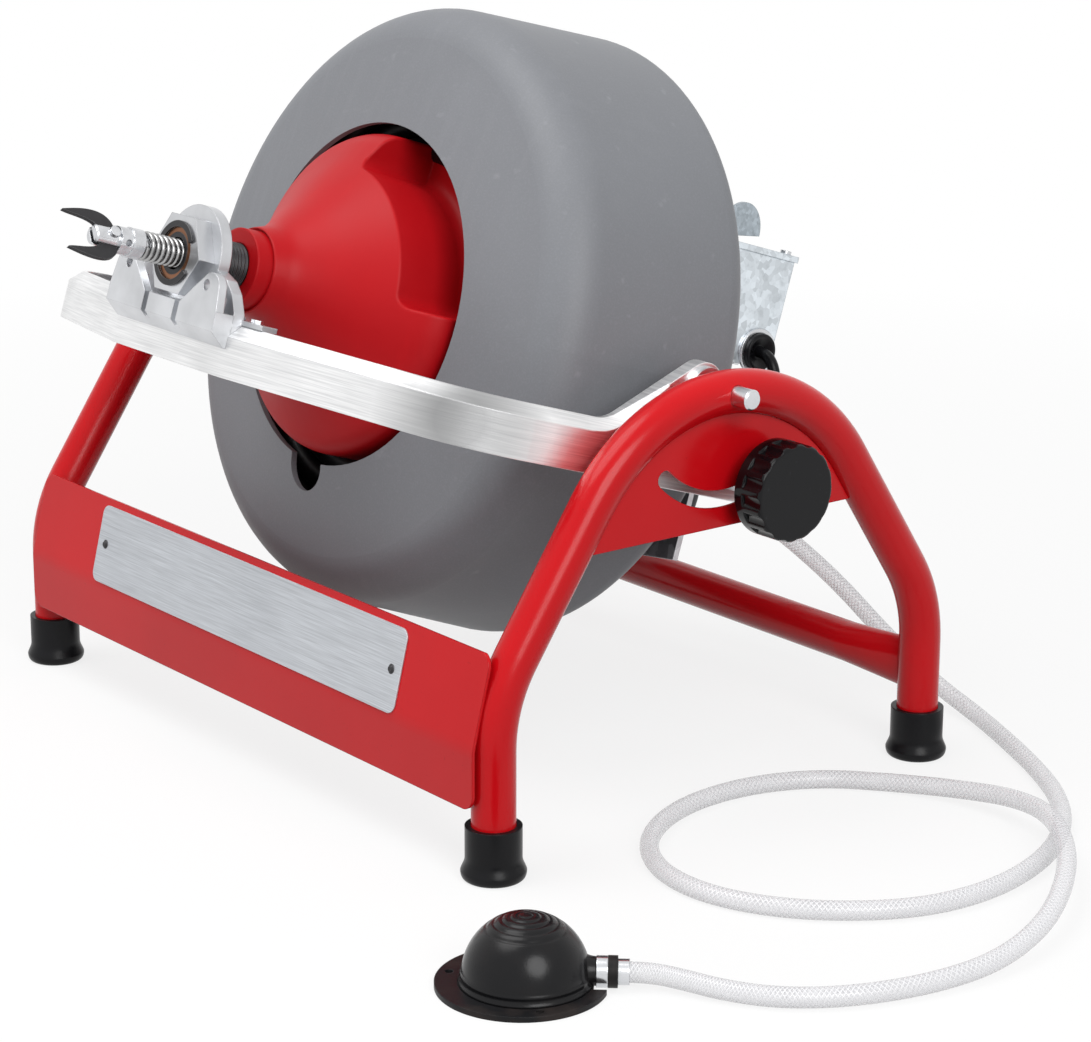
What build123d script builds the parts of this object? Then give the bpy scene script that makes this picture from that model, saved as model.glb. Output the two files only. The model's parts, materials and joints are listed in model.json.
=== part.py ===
from build123d import *
import os
from math import acos, atan2, cos, hypot, pi, radians, sin, sqrt, tan

# A drum drain cleaning machine, in millimetres. The origin is on the floor midway between the four feet,
# +X is the side with the locking knob, -Y is the front where the cable comes out, and +Z is up.
# The cradle and all it carries are modelled level, with the tilt pivot at the origin: t is the distance
# forward of the pivot (along -Y) and h the height above it. CRADLE then tilts them and lifts them.

# Fits and joints between pieces
RUN_FIT = 0.05
WELD_GAP = 0.1
SIDE_FIT = 0.4

# Stand tubes and feet
TUBE_R = 12.7
TUBE_WALL = 1.8
ARCH_X = 244.0
LEG_Y = 164.0
ARCH_LEAN = radians(34.0)
LEG_CORNER_Z = 102.1
LEG_BEND_R = 90.0
APEX_BEND_R = 116.0
FOOT_FIT = 0.15
FOOT_FLOOR = 6.0
FOOT_HEIGHT = 31.3
FOOT_WALL = 3.35
FOOT_FLARE = 2.5
FOOT_LIP_Z = 5.0
FOOT_FLARE_Z = 13.0
CROSS_Z = 57.0
CROSS_FLAT_LENGTH = 62.0
CROSS_FLAT_Y = 7.0
CROSS_FLAT_Z = 17.0
PIN_R = 6.0
PIN_OUT = 12.3
PIN_IN = 4.7
PIN_CHAMFER = 1.0

# Gusset, front panel and name plate
GUSSET_T = 2.4
GUSSET_Z = 175.0
SLOT_W = 10.5
SLOT_SPARE = 0.6
SLOT_FORE_SPARE = 9.0
PANEL_X = 4.0
PANEL_SHORT = 1.0
PANEL_T = 2.0
PANEL_LOW = 43.0
PANEL_TOP = 131.0
PANEL_CORNER_R = 9.0
PANEL_LEAN = radians(14.0)
CREASE_Z = 78.0
CREASE_R = 30.0
PLATE_W = 334.0
PLATE_H = 49.5
PLATE_T = 1.0
PLATE_R = 6.0
PLATE_X = 6.0
PLATE_UP = 1.0
RIVET_R = 1.5
RIVET_HEAD_R = 3.0
RIVET_HEAD_T = 1.3
RIVET_INSET = 9.0

# Tilt of the cradle
TILT = 17.65
TILT_UP = 60.0

# Yoke
SIDE_ROOM = 4.6
YOKE_T = 10.0
YOKE_LOW = -61.5
YOKE_CREASE = -37.5
YOKE_TOP = -30.0
YOKE_BEVEL = 8.0
NOSE_T = 210.7
NOSE_HALF = 57.5
NOSE_R = 25.0
YOKE_SLANT = radians(17.22)
YOKE_CORNER_R = 59.0
ARM_JOIN_T = 74.0
ARM_RISE_T = 60.0
ARM_RISE_R = 22.0
ARM_REAR_T = -64.0
ARM_REAR_TOP = -34.0
ARM_BEVEL_REACH = 0.66
ARM_BEVEL_END = 0.14
EYE_R = 14.0
BUSH_WALL = 2.95
BUSH_FLANGE_R = 12.0
BOLT_R = 3.0
BOLT_HEAD_R = 5.6
BOLT_HEAD_T = 3.4
BOLT_AT = ((-56.0, -52.0), (-28.0, -20.0))

# Tilt lock
STUD_R = 4.5
STUD_ORBIT = 62.0
STUD_ANGLE = 42.0
STUD_HEAD_R = 7.5
STUD_HEAD_T = 4.0
STUD_TIP = 14.0
SPACER_R = 9.0
KNOB_R = 28.5
KNOB_T = 21.0
KNOB_HUB_R = 14.0
KNOB_HUB_T = 12.3
KNOB_COLLAR_T = 6.0
KNOB_EDGE_R = 2.2
KNOB_SCALLOPS = 16
SCALLOP_R = 8.0
SCALLOP_DEPTH = 1.4

# Drum shell
DRUM_REAR_T = -60.0
DRUM_REAR_R = 192.0
DRUM_FRONT_R = 183.0
DRUM_FRONT_T = 75.3
DRUM_LIP_T = 90.3
OPENING_R = 105.5
DRUM_REAR_EDGE_R = 15.0
DRUM_FRONT_EDGE_R = 30.0
DRUM_WALL = 4.0
NOTCH_X = -6.0
NOTCH_R = 16.0
NOTCH_DEPTH = 18.5

# Hub, bearings and spindle
SPINDLE_R = 10.0
SPINDLE_FLANGE_R = 22.0
SPINDLE_FLANGE_T = 3.0
SPINDLE_TAIL = 4.0
BEARING_R = 20.0
BEARING_W = 12.0
BEARING_INSET = 2.0
HUB_TAIL_R = 28.0
HUB_R = 32.0
HUB_FLANGE_R = 104.0
HUB_FLANGE_T = 6.0
HUB_FRONT_T = -8.0

# Belt drive
PULLEY_GAP = 5.0
PULLEY_W = 12.0
PLATE_GAP = 5.0
DRUM_PITCH_R = 58.0
MOTOR_PITCH_R = 11.6
BELT_W = 8.0
BELT_T = 6.0
BELT_FIT = 0.4
RIM_ROOM = 2.4

# Rear plate
REAR_PLATE_T = 4.0
REAR_HALF = 149.3
REAR_LOW = -109.8
REAR_SAG = 10.2
REAR_TOP = 46.0
REAR_TOP_HALF = 70.0
WING_LOW = -62.0
WING_TOP = -8.0
FLANGE_FORE_T = -18.0

# Motor
MOTOR_R = 46.0
MOTOR_WALL = 6.0
MOTOR_LENGTH = 94.0
END_CAP_T = 10.0
END_SPIGOT = 4.0
SHAFT_R = 6.0
ROTOR_R = 24.4
ROTOR_GAP = 0.6
CORE_INSET = 12.0
CAP_VENTS = 12
VENT_R = 3.5
VENT_ORBIT = 30.0
FIN_COUNT = 20
FIN_HEIGHT = 2.2
FIN_W = 3.0
PEDESTAL_X = (-25.0, 40.0)
PEDESTAL_WALL = 4.0
PEDESTAL_INSET = 6.0

# Switch box and its lever
BOX_X = (-30.0, 80.0)
BOX_T = (-186.5, -131.0)
BOX_H = (14.0, 85.0)
SHEET = 1.5
BOX_RIM = 9.0
LID_T = 4.0
LID_LAP = 1.5
SCREW_R = 2.0
SCREW_HEAD_R = 3.6
SCREW_HEAD_T = 2.2
SCREW_INSET = 5.0
SCREW_HEX_R = 3.6
SCREW_TAIL = 4.0
LEVER_X = 67.5
LEVER_T = -135.0
LEVER_THICK = 3.0
LEVER_HALF = 16.0
LEVER_BACK = 10.0
LEVER_SKIRT = -3.5
LEVER_SLANT = 9.0
LEVER_RISE = 19.5
LEVER_HUB_R = 4.0
LEVER_HUB_HALF = 7.5
LEVER_PIN_R = 2.5
LUG_T = 3.6
LUG_R = 4.2
LEVER_LIFT = 6.0
GLAND_T = -172.5
GLAND_H = 24.3
GLAND_R = 12.0
GLAND_OUT = 6.0
GLAND_NECK_R = 8.4
GLAND_MOUTH_R = 10.0
GLAND_SEAT_R = 4.6
GLAND_SEAT = 2.5
BARB_X = 55.0
BARB_T = -170.0
BARB_R = 5.2
BARB_LENGTH = 20.0

# Nozzle on the yoke
STEM_T = (202.0, 209.5)
STEM_R = 31.0
STEM_SIDE = ((30.5, -3.0), (42.0, -7.0), (50.0, -13.5), (57.0, -24.0), (58.0, -32.0), (58.0, -38.0))
STEM_WINDOW = (7.5, 9.0)
STEM_WINDOW_AT = (43.0, -21.5)
TAB_X = (50.0, 72.0)
TAB_T = (192.5, 203.5)
TAB_THICK = 3.0
TAB_SCREW_X = 64.0
HEX_FLATS = 45.0
HEX_FRONT_T = 220.5
NOZZLE_BUSH_R = 15.5
CLIP_R = 19.2
CLIP_T = 1.5
CLIP_GAP_ANGLE = 60.0
SADDLE_HALF = 58.0
SADDLE_FRONT_T = 222.4
SADDLE_H = (-37.0, -25.5)
SADDLE_ROOT_T = 1.5
SADDLE_ROOT_H = -45.0
GROOVE_X = (14.0, 19.0)
GROOVE_DEPTH = 4.4
EAR_T = 5.6
EAR_AT = (46.0, -14.0)
EAR_R = 9.5
EAR_FOOT_X = (19.4, 57.8)
EAR_HOLE_AT = (42.3, -12.2)
EAR_HOLE_R = 3.2

# Inner cone
CONE_PROFILE = (
    (98.7, 80.0), (97.6, 93.0), (93.4, 100.0), (86.3, 105.5), (66.7, 120.5), (48.1, 135.5), (33.9, 150.0),
    (27.6, 161.0), (25.2, 168.0), (23.5, 178.0))
CONE_SKIRT_WALL = 4.5
CONE_THICK_T = 40.0
CONE_INSIDE = ((60.0, 52.0), (60.0, 84.0), (38.0, 108.0), (22.0, 138.0))
POCKET_ANGLE = 43.0
POCKET_WIDTH = 84.0
POCKET_SECTION = ((76.0, 140.0), (74.0, 60.0), (125.0, 60.0), (125.0, 140.0))
POCKET_CORNER_R = 8.0
POCKET_EDGE_R = 1.5

# Nozzle tube, cable and cutter
NOZZLE_R = 14.2
NOZZLE_SEAT_T = 150.0
NOZZLE_SHOULDER_T = 199.0
JOURNAL_R = 12.5
NOZZLE_BORE_R = 9.6
THREAD_PITCH = 2.4
THREAD_DEPTH = 0.9
THREAD_COUNT = 11
STORED_R = 108.0
STORED_REAR_T = -46.0
STORED_FRONT_T = 52.0
STORED_FIT = 0.5
WIRE_R = 1.45
SPRING_R = 7.3
SPRING_PITCH = 3.5
SPRING_TURNS = 11
SPRING_END_T = 244.0
CORE_R = 5.6
CORE_BACK_T = 190.0
COUPLING_BACK_T = 246.0
COUPLING_STEP_T = 254.0
COUPLING_FRONT_T = 262.0
COUPLING_R = 8.8
COUPLING_FRONT_R = 8.0
COUPLING_NOSE_R = 6.0
COUPLING_NOSE_T = 278.0
COUPLING_HOLE_T = 257.0
COUPLING_HOLE_R = 1.9
CUTTER_BASE_T = 262.0
CUTTER_THICK = 2.5
CUTTER_TURN = radians(40.0)
CUTTER_OUTSIDE = ((6.5, 262.0), (14.3, 267.5), (16.2, 276.0), (12.5, 296.0))
CUTTER_INSIDE = ((12.5, 296.0), (10.2, 283.0), (7.0, 275.0), (0.0, 271.5))
CUTTER_SCREW_T = 266.2
CUTTER_SCREW_R = 2.0
CUTTER_SCREW_HEAD_R = 3.4

# Air pedal
PEDAL_AT = (369.6, -238.7)
PEDAL_FLANGE_R = 45.0
PEDAL_FLANGE_BACK = 2.15
PEDAL_FLANGE_T = 3.0
PEDAL_HOLE_R = 2.2
PEDAL_HOLE_ORBIT = 39.0
PEDAL_HOLE_TURNS = (46.6, 166.6, 286.6)
DOME_R = 33.7
DOME_TOP = 39.3
SHOULDER_OUT = 0.72
SHOULDER_UP = 0.74
DOME_WALL = 3.0
DOME_GROOVES = (6.0, 10.0, 14.0, 18.0)
DOME_GROOVE_R = 0.8
NIPPLE_ANGLE = 49.4
NIPPLE_Z = 8.8
NECK_R = 7.0
NECK_ROOT_R = 8.4
NECK_ROOT = 22.0
NECK_BULGE = 35.0
CLAMP_T = 6.0
CLAMP_WALL = 1.2
CLAMP_FIT = 0.1
NECK_CLAMP = 36.2
NECK_RING_R = 8.4
NECK_RING_T = 5.0
DOME_FIT = 0.4

# Air hose and power cord
HOSE_R = 5.5
CORD_R = 3.8
HOSE_LIFT = 0.1
HUMP_GAP = 4.0
BEND_SHARE = 0.45
COIL_AT = (-138.0, -34.0)
COIL_TURN = 90.0
COIL_R = 62.0
COIL_PITCH = 8.2
COIL_LAYER = 8.1
COIL_HALF_TURNS = 11
TIE_T = 1.2
TIE_W = 8.0
TIE_FIT = 0.4
PLUG_W = 26.0
PLUG_LENGTH = 38.0
PLUG_H = 24.0
PLUG_EDGE_R = 5.0
RELIEF_LENGTH = 26.0
RELIEF_R = 6.5
BLADE_SIZE = (1.5, 18.0, 6.3)
BLADE_SPACING = 12.7
EARTH_R = 2.4
EARTH_LENGTH = 21.0
EARTH_DROP = 6.0

# Places that follow from the sizes above
APEX_Z = LEG_CORNER_Z + LEG_Y / tan(ARCH_LEAN)
PIVOT_Z = APEX_Z - APEX_BEND_R * (1 / sin(ARCH_LEAN) - 1)
BEND_START_Z = LEG_CORNER_Z - LEG_BEND_R * tan(ARCH_LEAN / 2)
CRADLE = Pos(0, 0, PIVOT_Z) * Rot(-TILT, 0, 0)
PANEL_HALF = ARCH_X - PANEL_SHORT
MOTOR_DROP = DRUM_PITCH_R + MOTOR_PITCH_R + BELT_T + RIM_ROOM
ARM_X = ARCH_X - TUBE_R - SIDE_ROOM
ARM_INNER_X = ARM_X - YOKE_T
FLANGE_X = ARM_INNER_X - REAR_PLATE_T
REAR_T = DRUM_REAR_T - PULLEY_GAP - PULLEY_W - PLATE_GAP
MOUNT_T = REAR_T - REAR_PLATE_T
PULLEY_T = DRUM_REAR_T - PULLEY_GAP - PULLEY_W
MOTOR_REAR_T = MOUNT_T - MOTOR_LENGTH
STUD_T = -STUD_ORBIT * sin(radians(STUD_ANGLE))
STUD_H = -STUD_ORBIT * cos(radians(STUD_ANGLE))
LID_TOP = BOX_H[1] + LID_T
TIE_FLOOR = TIE_T + TIE_FIT
CORD_Z = CORD_R + TIE_FLOOR
COIL_PLACE = Pos(*COIL_AT, 0) * Rot(0, 0, COIL_TURN)
HOSE_FLOOR = HOSE_R + HOSE_LIFT
HUMP_Z = HOSE_FLOOR + 2 * HOSE_R + HUMP_GAP

# Axes to turn and extrude on: TURNING holds (radius, t), SIDE holds (t, h), Plane.XZ holds (x, h)
TURNING = Plane((0, 0, 0), x_dir=(1, 0, 0), z_dir=(0, 0, -1))
SIDE = Plane((0, 0, 0), x_dir=(0, -1, 0), z_dir=(-1, 0, 0))
BASE = (Align.CENTER, Align.CENTER, Align.MIN)


def bar_x(radius, x0, x1, y=0.0, z=0.0):
    """A round bar along X."""
    low, high = sorted((x0, x1))
    return Pos(low, y, z) * Rot(0, 90, 0) * Cylinder(radius, high - low, align=BASE)


def bar_t(radius, t0, t1, x=0.0, h=0.0):
    """A round bar along the drum axis, from t0 forward to t1."""
    return Pos(x, -t0, h) * Rot(90, 0, 0) * Cylinder(radius, t1 - t0, align=BASE)


def block(x_span, t_span, h_span):
    """A box in the cradle's frame between pairs of X, t and h."""
    middle = Pos(sum(x_span) / 2, -sum(t_span) / 2, sum(h_span) / 2)
    return middle * Box(x_span[1] - x_span[0], t_span[1] - t_span[0], h_span[1] - h_span[0])


def turned(*points):
    """A solid turned about the drum axis from a closed outline of (radius, t)."""
    return revolve(TURNING * Polygon(*points, align=None), Axis.Y)


def plate_x(outline, x0, x1):
    """A plate square to X from an outline of (t, h)."""
    return Pos(x0, 0, 0) * extrude(SIDE * outline, amount=x1 - x0, dir=(1, 0, 0))


def plate_t(outline, t0, t1):
    """A plate square to the drum axis from an outline of (x, h)."""
    return Pos(0, -t0, 0) * extrude(Plane.XZ * outline, amount=t1 - t0, dir=(0, -1, 0))


def pair(solid):
    """A piece and its mirror image on the other side of the machine."""
    return [solid, mirror(solid, Plane.YZ)]


def tangent_point(t, h, radius, turn):
    """Where a line from (t, h) touches a circle about the pivot."""
    angle = atan2(h, t) + turn * acos(radius / hypot(t, h))
    return radius * cos(angle), radius * sin(angle)


def arch(x):
    path = FilletPolyline(
        (x, -LEG_Y, FOOT_FLOOR), (x, -LEG_Y, LEG_CORNER_Z), (x, 0, APEX_Z), (x, LEG_Y, LEG_CORNER_Z),
        (x, LEG_Y, FOOT_FLOOR), radius=[LEG_BEND_R, APEX_BEND_R, LEG_BEND_R])
    ring = Circle(TUBE_R) - Circle(TUBE_R - TUBE_WALL)
    tube = sweep(Plane(path @ 0, z_dir=path % 0) * ring, path)
    return tube - bar_x(PIN_R + RUN_FIT, x - 2 * TUBE_R, x + 2 * TUBE_R, z=PIVOT_Z)


def foot(x, y):
    bore = TUBE_R + FOOT_FIT
    side = bore + FOOT_WALL
    lip = (side + FOOT_FLARE, FOOT_LIP_Z)
    heel = Spline((side, 0), lip, tangents=[(1, 0.4), (0, 1)])
    flare = Spline(lip, (side, FOOT_FLARE_Z), tangents=[(-0.3, 1), (0, 1)])
    rest = Polyline((side, FOOT_FLARE_Z), (side, FOOT_HEIGHT), (bore, FOOT_HEIGHT), (bore, FOOT_FLOOR),
                    (0, FOOT_FLOOR), (0, 0), (side, 0))
    outline = make_face([*heel.edges(), *flare.edges(), *rest.edges()])
    return Pos(x, y, 0) * revolve(Plane.XZ * outline, Axis.Z)


def gusset(x):
    inner_apex = APEX_Z - (TUBE_R + WELD_GAP) / sin(ARCH_LEAN)
    foot_y = (inner_apex - GUSSET_Z) * tan(ARCH_LEAN)
    bend = APEX_BEND_R - TUBE_R - WELD_GAP
    outline = make_face(FilletPolyline(
        (-foot_y, GUSSET_Z), (0, inner_apex), (foot_y, GUSSET_Z), radius=[0, bend, 0], close=True))
    fore = TILT + TILT_UP - STUD_ANGLE + SLOT_FORE_SPARE
    rear = STUD_ANGLE + SLOT_SPARE
    slot = SlotArc(CenterArc((0, PIVOT_Z), STUD_ORBIT, -90 - fore, fore + rear), SLOT_W)
    return Pos(x, 0, 0) * extrude(Plane.YZ * (outline - slot), amount=GUSSET_T / 2, both=True)


def panel_places():
    """The y of the panel's lower inner face, and its crease on the outer face."""
    touch_r = LEG_BEND_R + TUBE_R
    touch_y = LEG_BEND_R - LEG_Y - touch_r * cos(PANEL_LEAN)
    touch_z = BEND_START_Z + touch_r * sin(PANEL_LEAN)
    inner_y = touch_y - (touch_z - CREASE_Z) * tan(PANEL_LEAN) - WELD_GAP
    return inner_y, (inner_y - PANEL_T, CREASE_Z + PANEL_T * tan(PANEL_LEAN / 2))


def name_plate_plane():
    crease_y, crease_z = panel_places()[1]
    rise = PLATE_UP + PLATE_H / 2
    middle = (PLATE_X, crease_y + rise * sin(PANEL_LEAN), crease_z + rise * cos(PANEL_LEAN))
    return Plane(middle, x_dir=(1, 0, 0), z_dir=(0, -cos(PANEL_LEAN), sin(PANEL_LEAN)))


def rivet_places():
    reach = PLATE_W / 2 - RIVET_INSET
    return [name_plate_plane() * Pos(side * reach, 0, 0) for side in (-1, 1)]


def front_panel():
    inner_y, crease = panel_places()
    top_y = inner_y + (PANEL_TOP - CREASE_Z) * tan(PANEL_LEAN)
    top_out = (top_y - PANEL_T * cos(PANEL_LEAN), PANEL_TOP + PANEL_T * sin(PANEL_LEAN))
    outline = make_face(FilletPolyline(
        (inner_y, PANEL_LOW), (inner_y, CREASE_Z), (top_y, PANEL_TOP), top_out, crease,
        (inner_y - PANEL_T, PANEL_LOW), radius=[0, CREASE_R - PANEL_T, 0, 0, CREASE_R, 0], close=True))
    sheet = Pos(PANEL_X, 0, 0) * extrude(Plane.YZ * outline, amount=PANEL_HALF, both=True)
    height = top_out[1] - PANEL_LOW
    front = Pos(PANEL_X, PANEL_LOW + height / 2) * RectangleRounded(2 * PANEL_HALF, height, PANEL_CORNER_R)
    sheet = sheet & extrude(Plane.XZ * front, amount=2 * LEG_Y, both=True)
    for place in rivet_places():
        sheet -= place * Cylinder(RIVET_R + RUN_FIT, 4 * PANEL_T)
    return sheet


def name_plate():
    plate = extrude(name_plate_plane() * RectangleRounded(PLATE_W, PLATE_H, PLATE_R), PLATE_T)
    for place in rivet_places():
        plate -= place * Cylinder(RIVET_R + RUN_FIT, 4 * PLATE_T)
    return plate


def plate_rivets():
    stem = Pos(0, 0, -PANEL_T) * Cylinder(RIVET_R, PANEL_T + PLATE_T, align=BASE)
    head = Pos(0, 0, PLATE_T) * Cone(RIVET_HEAD_R, RIVET_HEAD_R / 2, RIVET_HEAD_T, align=BASE)
    return [place * (stem + head) for place in rivet_places()]


def cross_body(wall):
    """The rear cross tube, a wall inside its outer face: round, with its ends pressed flat."""
    plain = ARCH_X - CROSS_FLAT_LENGTH
    round_end = Plane((plain, LEG_Y, CROSS_Z), x_dir=(0, 1, 0), z_dir=(1, 0, 0))
    flat_end = Plane((ARCH_X, LEG_Y, CROSS_Z), x_dir=(0, 1, 0), z_dir=(1, 0, 0))
    oval = Ellipse(CROSS_FLAT_Y - wall, CROSS_FLAT_Z - wall)
    press = loft([round_end * Circle(TUBE_R - wall), flat_end * oval])
    return bar_x(TUBE_R - wall, -plain, plain, LEG_Y, CROSS_Z) + press + mirror(press, Plane.YZ)


def rear_cross_tube():
    tube = cross_body(0) - cross_body(TUBE_WALL)
    for x in (-ARCH_X, ARCH_X):
        tube -= Pos(x, LEG_Y, CROSS_Z) * Cylinder(TUBE_R + WELD_GAP, 4 * CROSS_FLAT_Z)
    return tube


def pivot_pin():
    pin = bar_x(PIN_R, ARM_INNER_X - PIN_IN, ARCH_X + TUBE_R + PIN_OUT, z=PIVOT_Z)
    return chamfer(pin.edges().group_by(Axis.X)[-1], PIN_CHAMFER)


def yoke_arm():
    rear = tangent_point(ARM_REAR_T, ARM_REAR_TOP, EYE_R, -1)
    fore = tangent_point(ARM_RISE_T, YOKE_TOP, EYE_R, 1)
    outline = Polygon(
        (ARM_JOIN_T, YOKE_LOW), (ARM_REAR_T, YOKE_LOW), (ARM_REAR_T, ARM_REAR_TOP), rear, fore,
        (ARM_RISE_T, YOKE_TOP), (ARM_JOIN_T, YOKE_TOP), align=None)
    rise = outline.vertices().sort_by_distance((ARM_RISE_T, YOKE_TOP, 0))[0]
    return plate_x(fillet(rise, ARM_RISE_R) + Circle(EYE_R), ARM_INNER_X, ARM_X) - arm_bevel(fore)


def arm_bevel(fore):
    """What carries the band's bevel up the arm's outer top edge, and runs out below the eye."""
    end = tuple(a + (b - a) * ARM_BEVEL_REACH for a, b in zip((ARM_RISE_T, YOKE_TOP), fore))
    path = FilletPolyline(end, (ARM_RISE_T, YOKE_TOP), (ARM_JOIN_T, YOKE_TOP), radius=ARM_RISE_R)
    path = Pos(ARM_X, 0, 0) * (SIDE * path)
    down, across, past = YOKE_TOP - YOKE_CREASE, YOKE_BEVEL, ARM_BEVEL_END
    wedge = Polygon(
        (across * past, -down * (1 + past)), (across * past, down * past), (-across * (1 + past), down * past),
        align=None)
    ends = [Plane(path @ place, x_dir=(1, 0, 0), z_dir=path % place) for place in (0, 1)]
    return sweep([ends[0] * scale(wedge, ARM_BEVEL_END), ends[1] * wedge], path, multisection=True)


def yoke():
    corner_t = NOSE_T - (ARM_X - NOSE_HALF) * tan(YOKE_SLANT)
    path = FilletPolyline(
        (ARM_X, -ARM_JOIN_T), (ARM_X, -corner_t), (NOSE_HALF, -NOSE_T), (-NOSE_HALF, -NOSE_T),
        (-ARM_X, -corner_t), (-ARM_X, -ARM_JOIN_T), radius=[YOKE_CORNER_R, NOSE_R, NOSE_R, YOKE_CORNER_R])
    section = Polygon(
        (0, YOKE_LOW), (0, YOKE_CREASE), (-YOKE_BEVEL, YOKE_TOP), (-YOKE_T, YOKE_TOP), (-YOKE_T, YOKE_LOW),
        align=None)
    band = sweep(Plane(path @ 0, x_dir=(1, 0, 0), z_dir=path % 0) * section, path)
    bored = band + pair(yoke_arm())
    bored -= bar_x(PIN_R + RUN_FIT + BUSH_WALL + RUN_FIT, -ARCH_X, ARCH_X)
    bored -= bar_x(STUD_R + RUN_FIT, 0, ARCH_X, -STUD_T, STUD_H)
    for t, h in BOLT_AT:
        bored -= bar_x(BOLT_R + RUN_FIT, -ARCH_X, ARCH_X, -t, h)
    for x in (-TAB_SCREW_X, TAB_SCREW_X):
        bored -= tab_screw_bar(x, SCREW_R + RUN_FIT)
    return bored


def tab_screw_bar(x, radius):
    """The shank of a screw that holds a nozzle foot down on the yoke's top."""
    slant_t = NOSE_T - (abs(x) - NOSE_HALF) * tan(YOKE_SLANT) - YOKE_BEVEL / cos(YOKE_SLANT)
    middle_t = slant_t - (YOKE_T - YOKE_BEVEL) / 2 - SCREW_R
    return Pos(x, -middle_t, YOKE_TOP - SCREW_TAIL) * Cylinder(radius, SCREW_TAIL + TAB_THICK, align=BASE)


def pivot_bush():
    inner = PIN_R + RUN_FIT
    sleeve = bar_x(inner + BUSH_WALL, ARM_INNER_X, ARM_X)
    flange = bar_x(BUSH_FLANGE_R, ARM_X, ARM_X + SIDE_ROOM - SIDE_FIT)
    return sleeve + flange - bar_x(inner, 0, ARCH_X)


def cradle_bolts():
    """Bolts that hold the rear plate's flanges to the yoke arms, with their nuts."""
    bolts = []
    hexagon = extrude(Plane.YZ * RegularPolygon(BOLT_HEAD_R, 6), BOLT_HEAD_T)
    for t, h in BOLT_AT:
        ends = Pos(ARM_X, -t, h) * hexagon + Pos(FLANGE_X - BOLT_HEAD_T, -t, h) * hexagon
        bolts += pair(ends + bar_x(BOLT_R, FLANGE_X, ARM_X, -t, h))
    return bolts


def rear_plate():
    outline = make_face([
        Edge.make_three_point_arc((-REAR_HALF, REAR_LOW), (0, REAR_LOW - REAR_SAG), (REAR_HALF, REAR_LOW)),
        *Polyline(
            (REAR_HALF, REAR_LOW), (REAR_HALF, WING_LOW), (ARM_INNER_X, WING_LOW), (ARM_INNER_X, WING_TOP),
            (REAR_HALF, WING_TOP), (REAR_TOP_HALF, REAR_TOP), (-REAR_TOP_HALF, REAR_TOP),
            (-REAR_HALF, WING_TOP), (-ARM_INNER_X, WING_TOP), (-ARM_INNER_X, WING_LOW),
            (-REAR_HALF, WING_LOW), (-REAR_HALF, REAR_LOW)).edges()])
    plate = plate_t(outline, MOUNT_T, REAR_T)
    plate += pair(block((FLANGE_X, ARM_INNER_X), (REAR_T, FLANGE_FORE_T), (WING_LOW, WING_TOP)))
    plate -= bar_t(SPINDLE_R + RUN_FIT, MOUNT_T, REAR_T)
    plate -= bar_t(MOTOR_PITCH_R + BELT_T, MOUNT_T, REAR_T, h=-MOTOR_DROP)
    plate -= bar_x(STUD_R + RUN_FIT, 0, ARCH_X, -STUD_T, STUD_H)
    for t, h in BOLT_AT:
        plate -= bar_x(BOLT_R + RUN_FIT, -ARCH_X, ARCH_X, -t, h)
    return plate


def lock_stud():
    stud_end = ARCH_X + GUSSET_T / 2 + SIDE_FIT + KNOB_HUB_T + STUD_TIP
    return (bar_x(STUD_R, FLANGE_X, stud_end, -STUD_T, STUD_H)
            + bar_x(STUD_HEAD_R, FLANGE_X - STUD_HEAD_T, FLANGE_X, -STUD_T, STUD_H))


def stud_spacer():
    end = ARCH_X - GUSSET_T / 2 - SIDE_FIT
    return (bar_x(SPACER_R, ARM_X, end, -STUD_T, STUD_H)
            - bar_x(STUD_R + RUN_FIT, ARM_X, end, -STUD_T, STUD_H))


def lock_knob():
    start = ARCH_X + GUSSET_T / 2 + SIDE_FIT
    grip = start + KNOB_HUB_T
    knob = bar_x(KNOB_R, grip, grip + KNOB_T)
    knob = fillet(knob.edges().group_by(Axis.X)[-1], KNOB_EDGE_R)
    orbit = KNOB_R + SCALLOP_R - SCALLOP_DEPTH
    for i in range(KNOB_SCALLOPS):
        turn = 2 * pi * i / KNOB_SCALLOPS
        knob -= bar_x(SCALLOP_R, grip + KNOB_COLLAR_T, grip + KNOB_T, orbit * cos(turn), orbit * sin(turn))
    knob += bar_x(KNOB_HUB_R, start, grip)
    knob -= bar_x(STUD_R + RUN_FIT, start, grip + STUD_TIP + SIDE_FIT)
    return Pos(0, -STUD_T, STUD_H) * knob


def drum_lip_apex():
    """Where the drum's sloping front face would meet the axis."""
    return DRUM_LIP_T + OPENING_R * (DRUM_LIP_T - DRUM_FRONT_T) / (DRUM_FRONT_R - OPENING_R)


def drum_outline():
    return make_face(FilletPolyline(
        (0, DRUM_REAR_T), (DRUM_REAR_R, DRUM_REAR_T), (DRUM_FRONT_R, DRUM_FRONT_T), (0, drum_lip_apex()),
        radius=[0, DRUM_REAR_EDGE_R, DRUM_FRONT_EDGE_R, 0], close=True))


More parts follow.
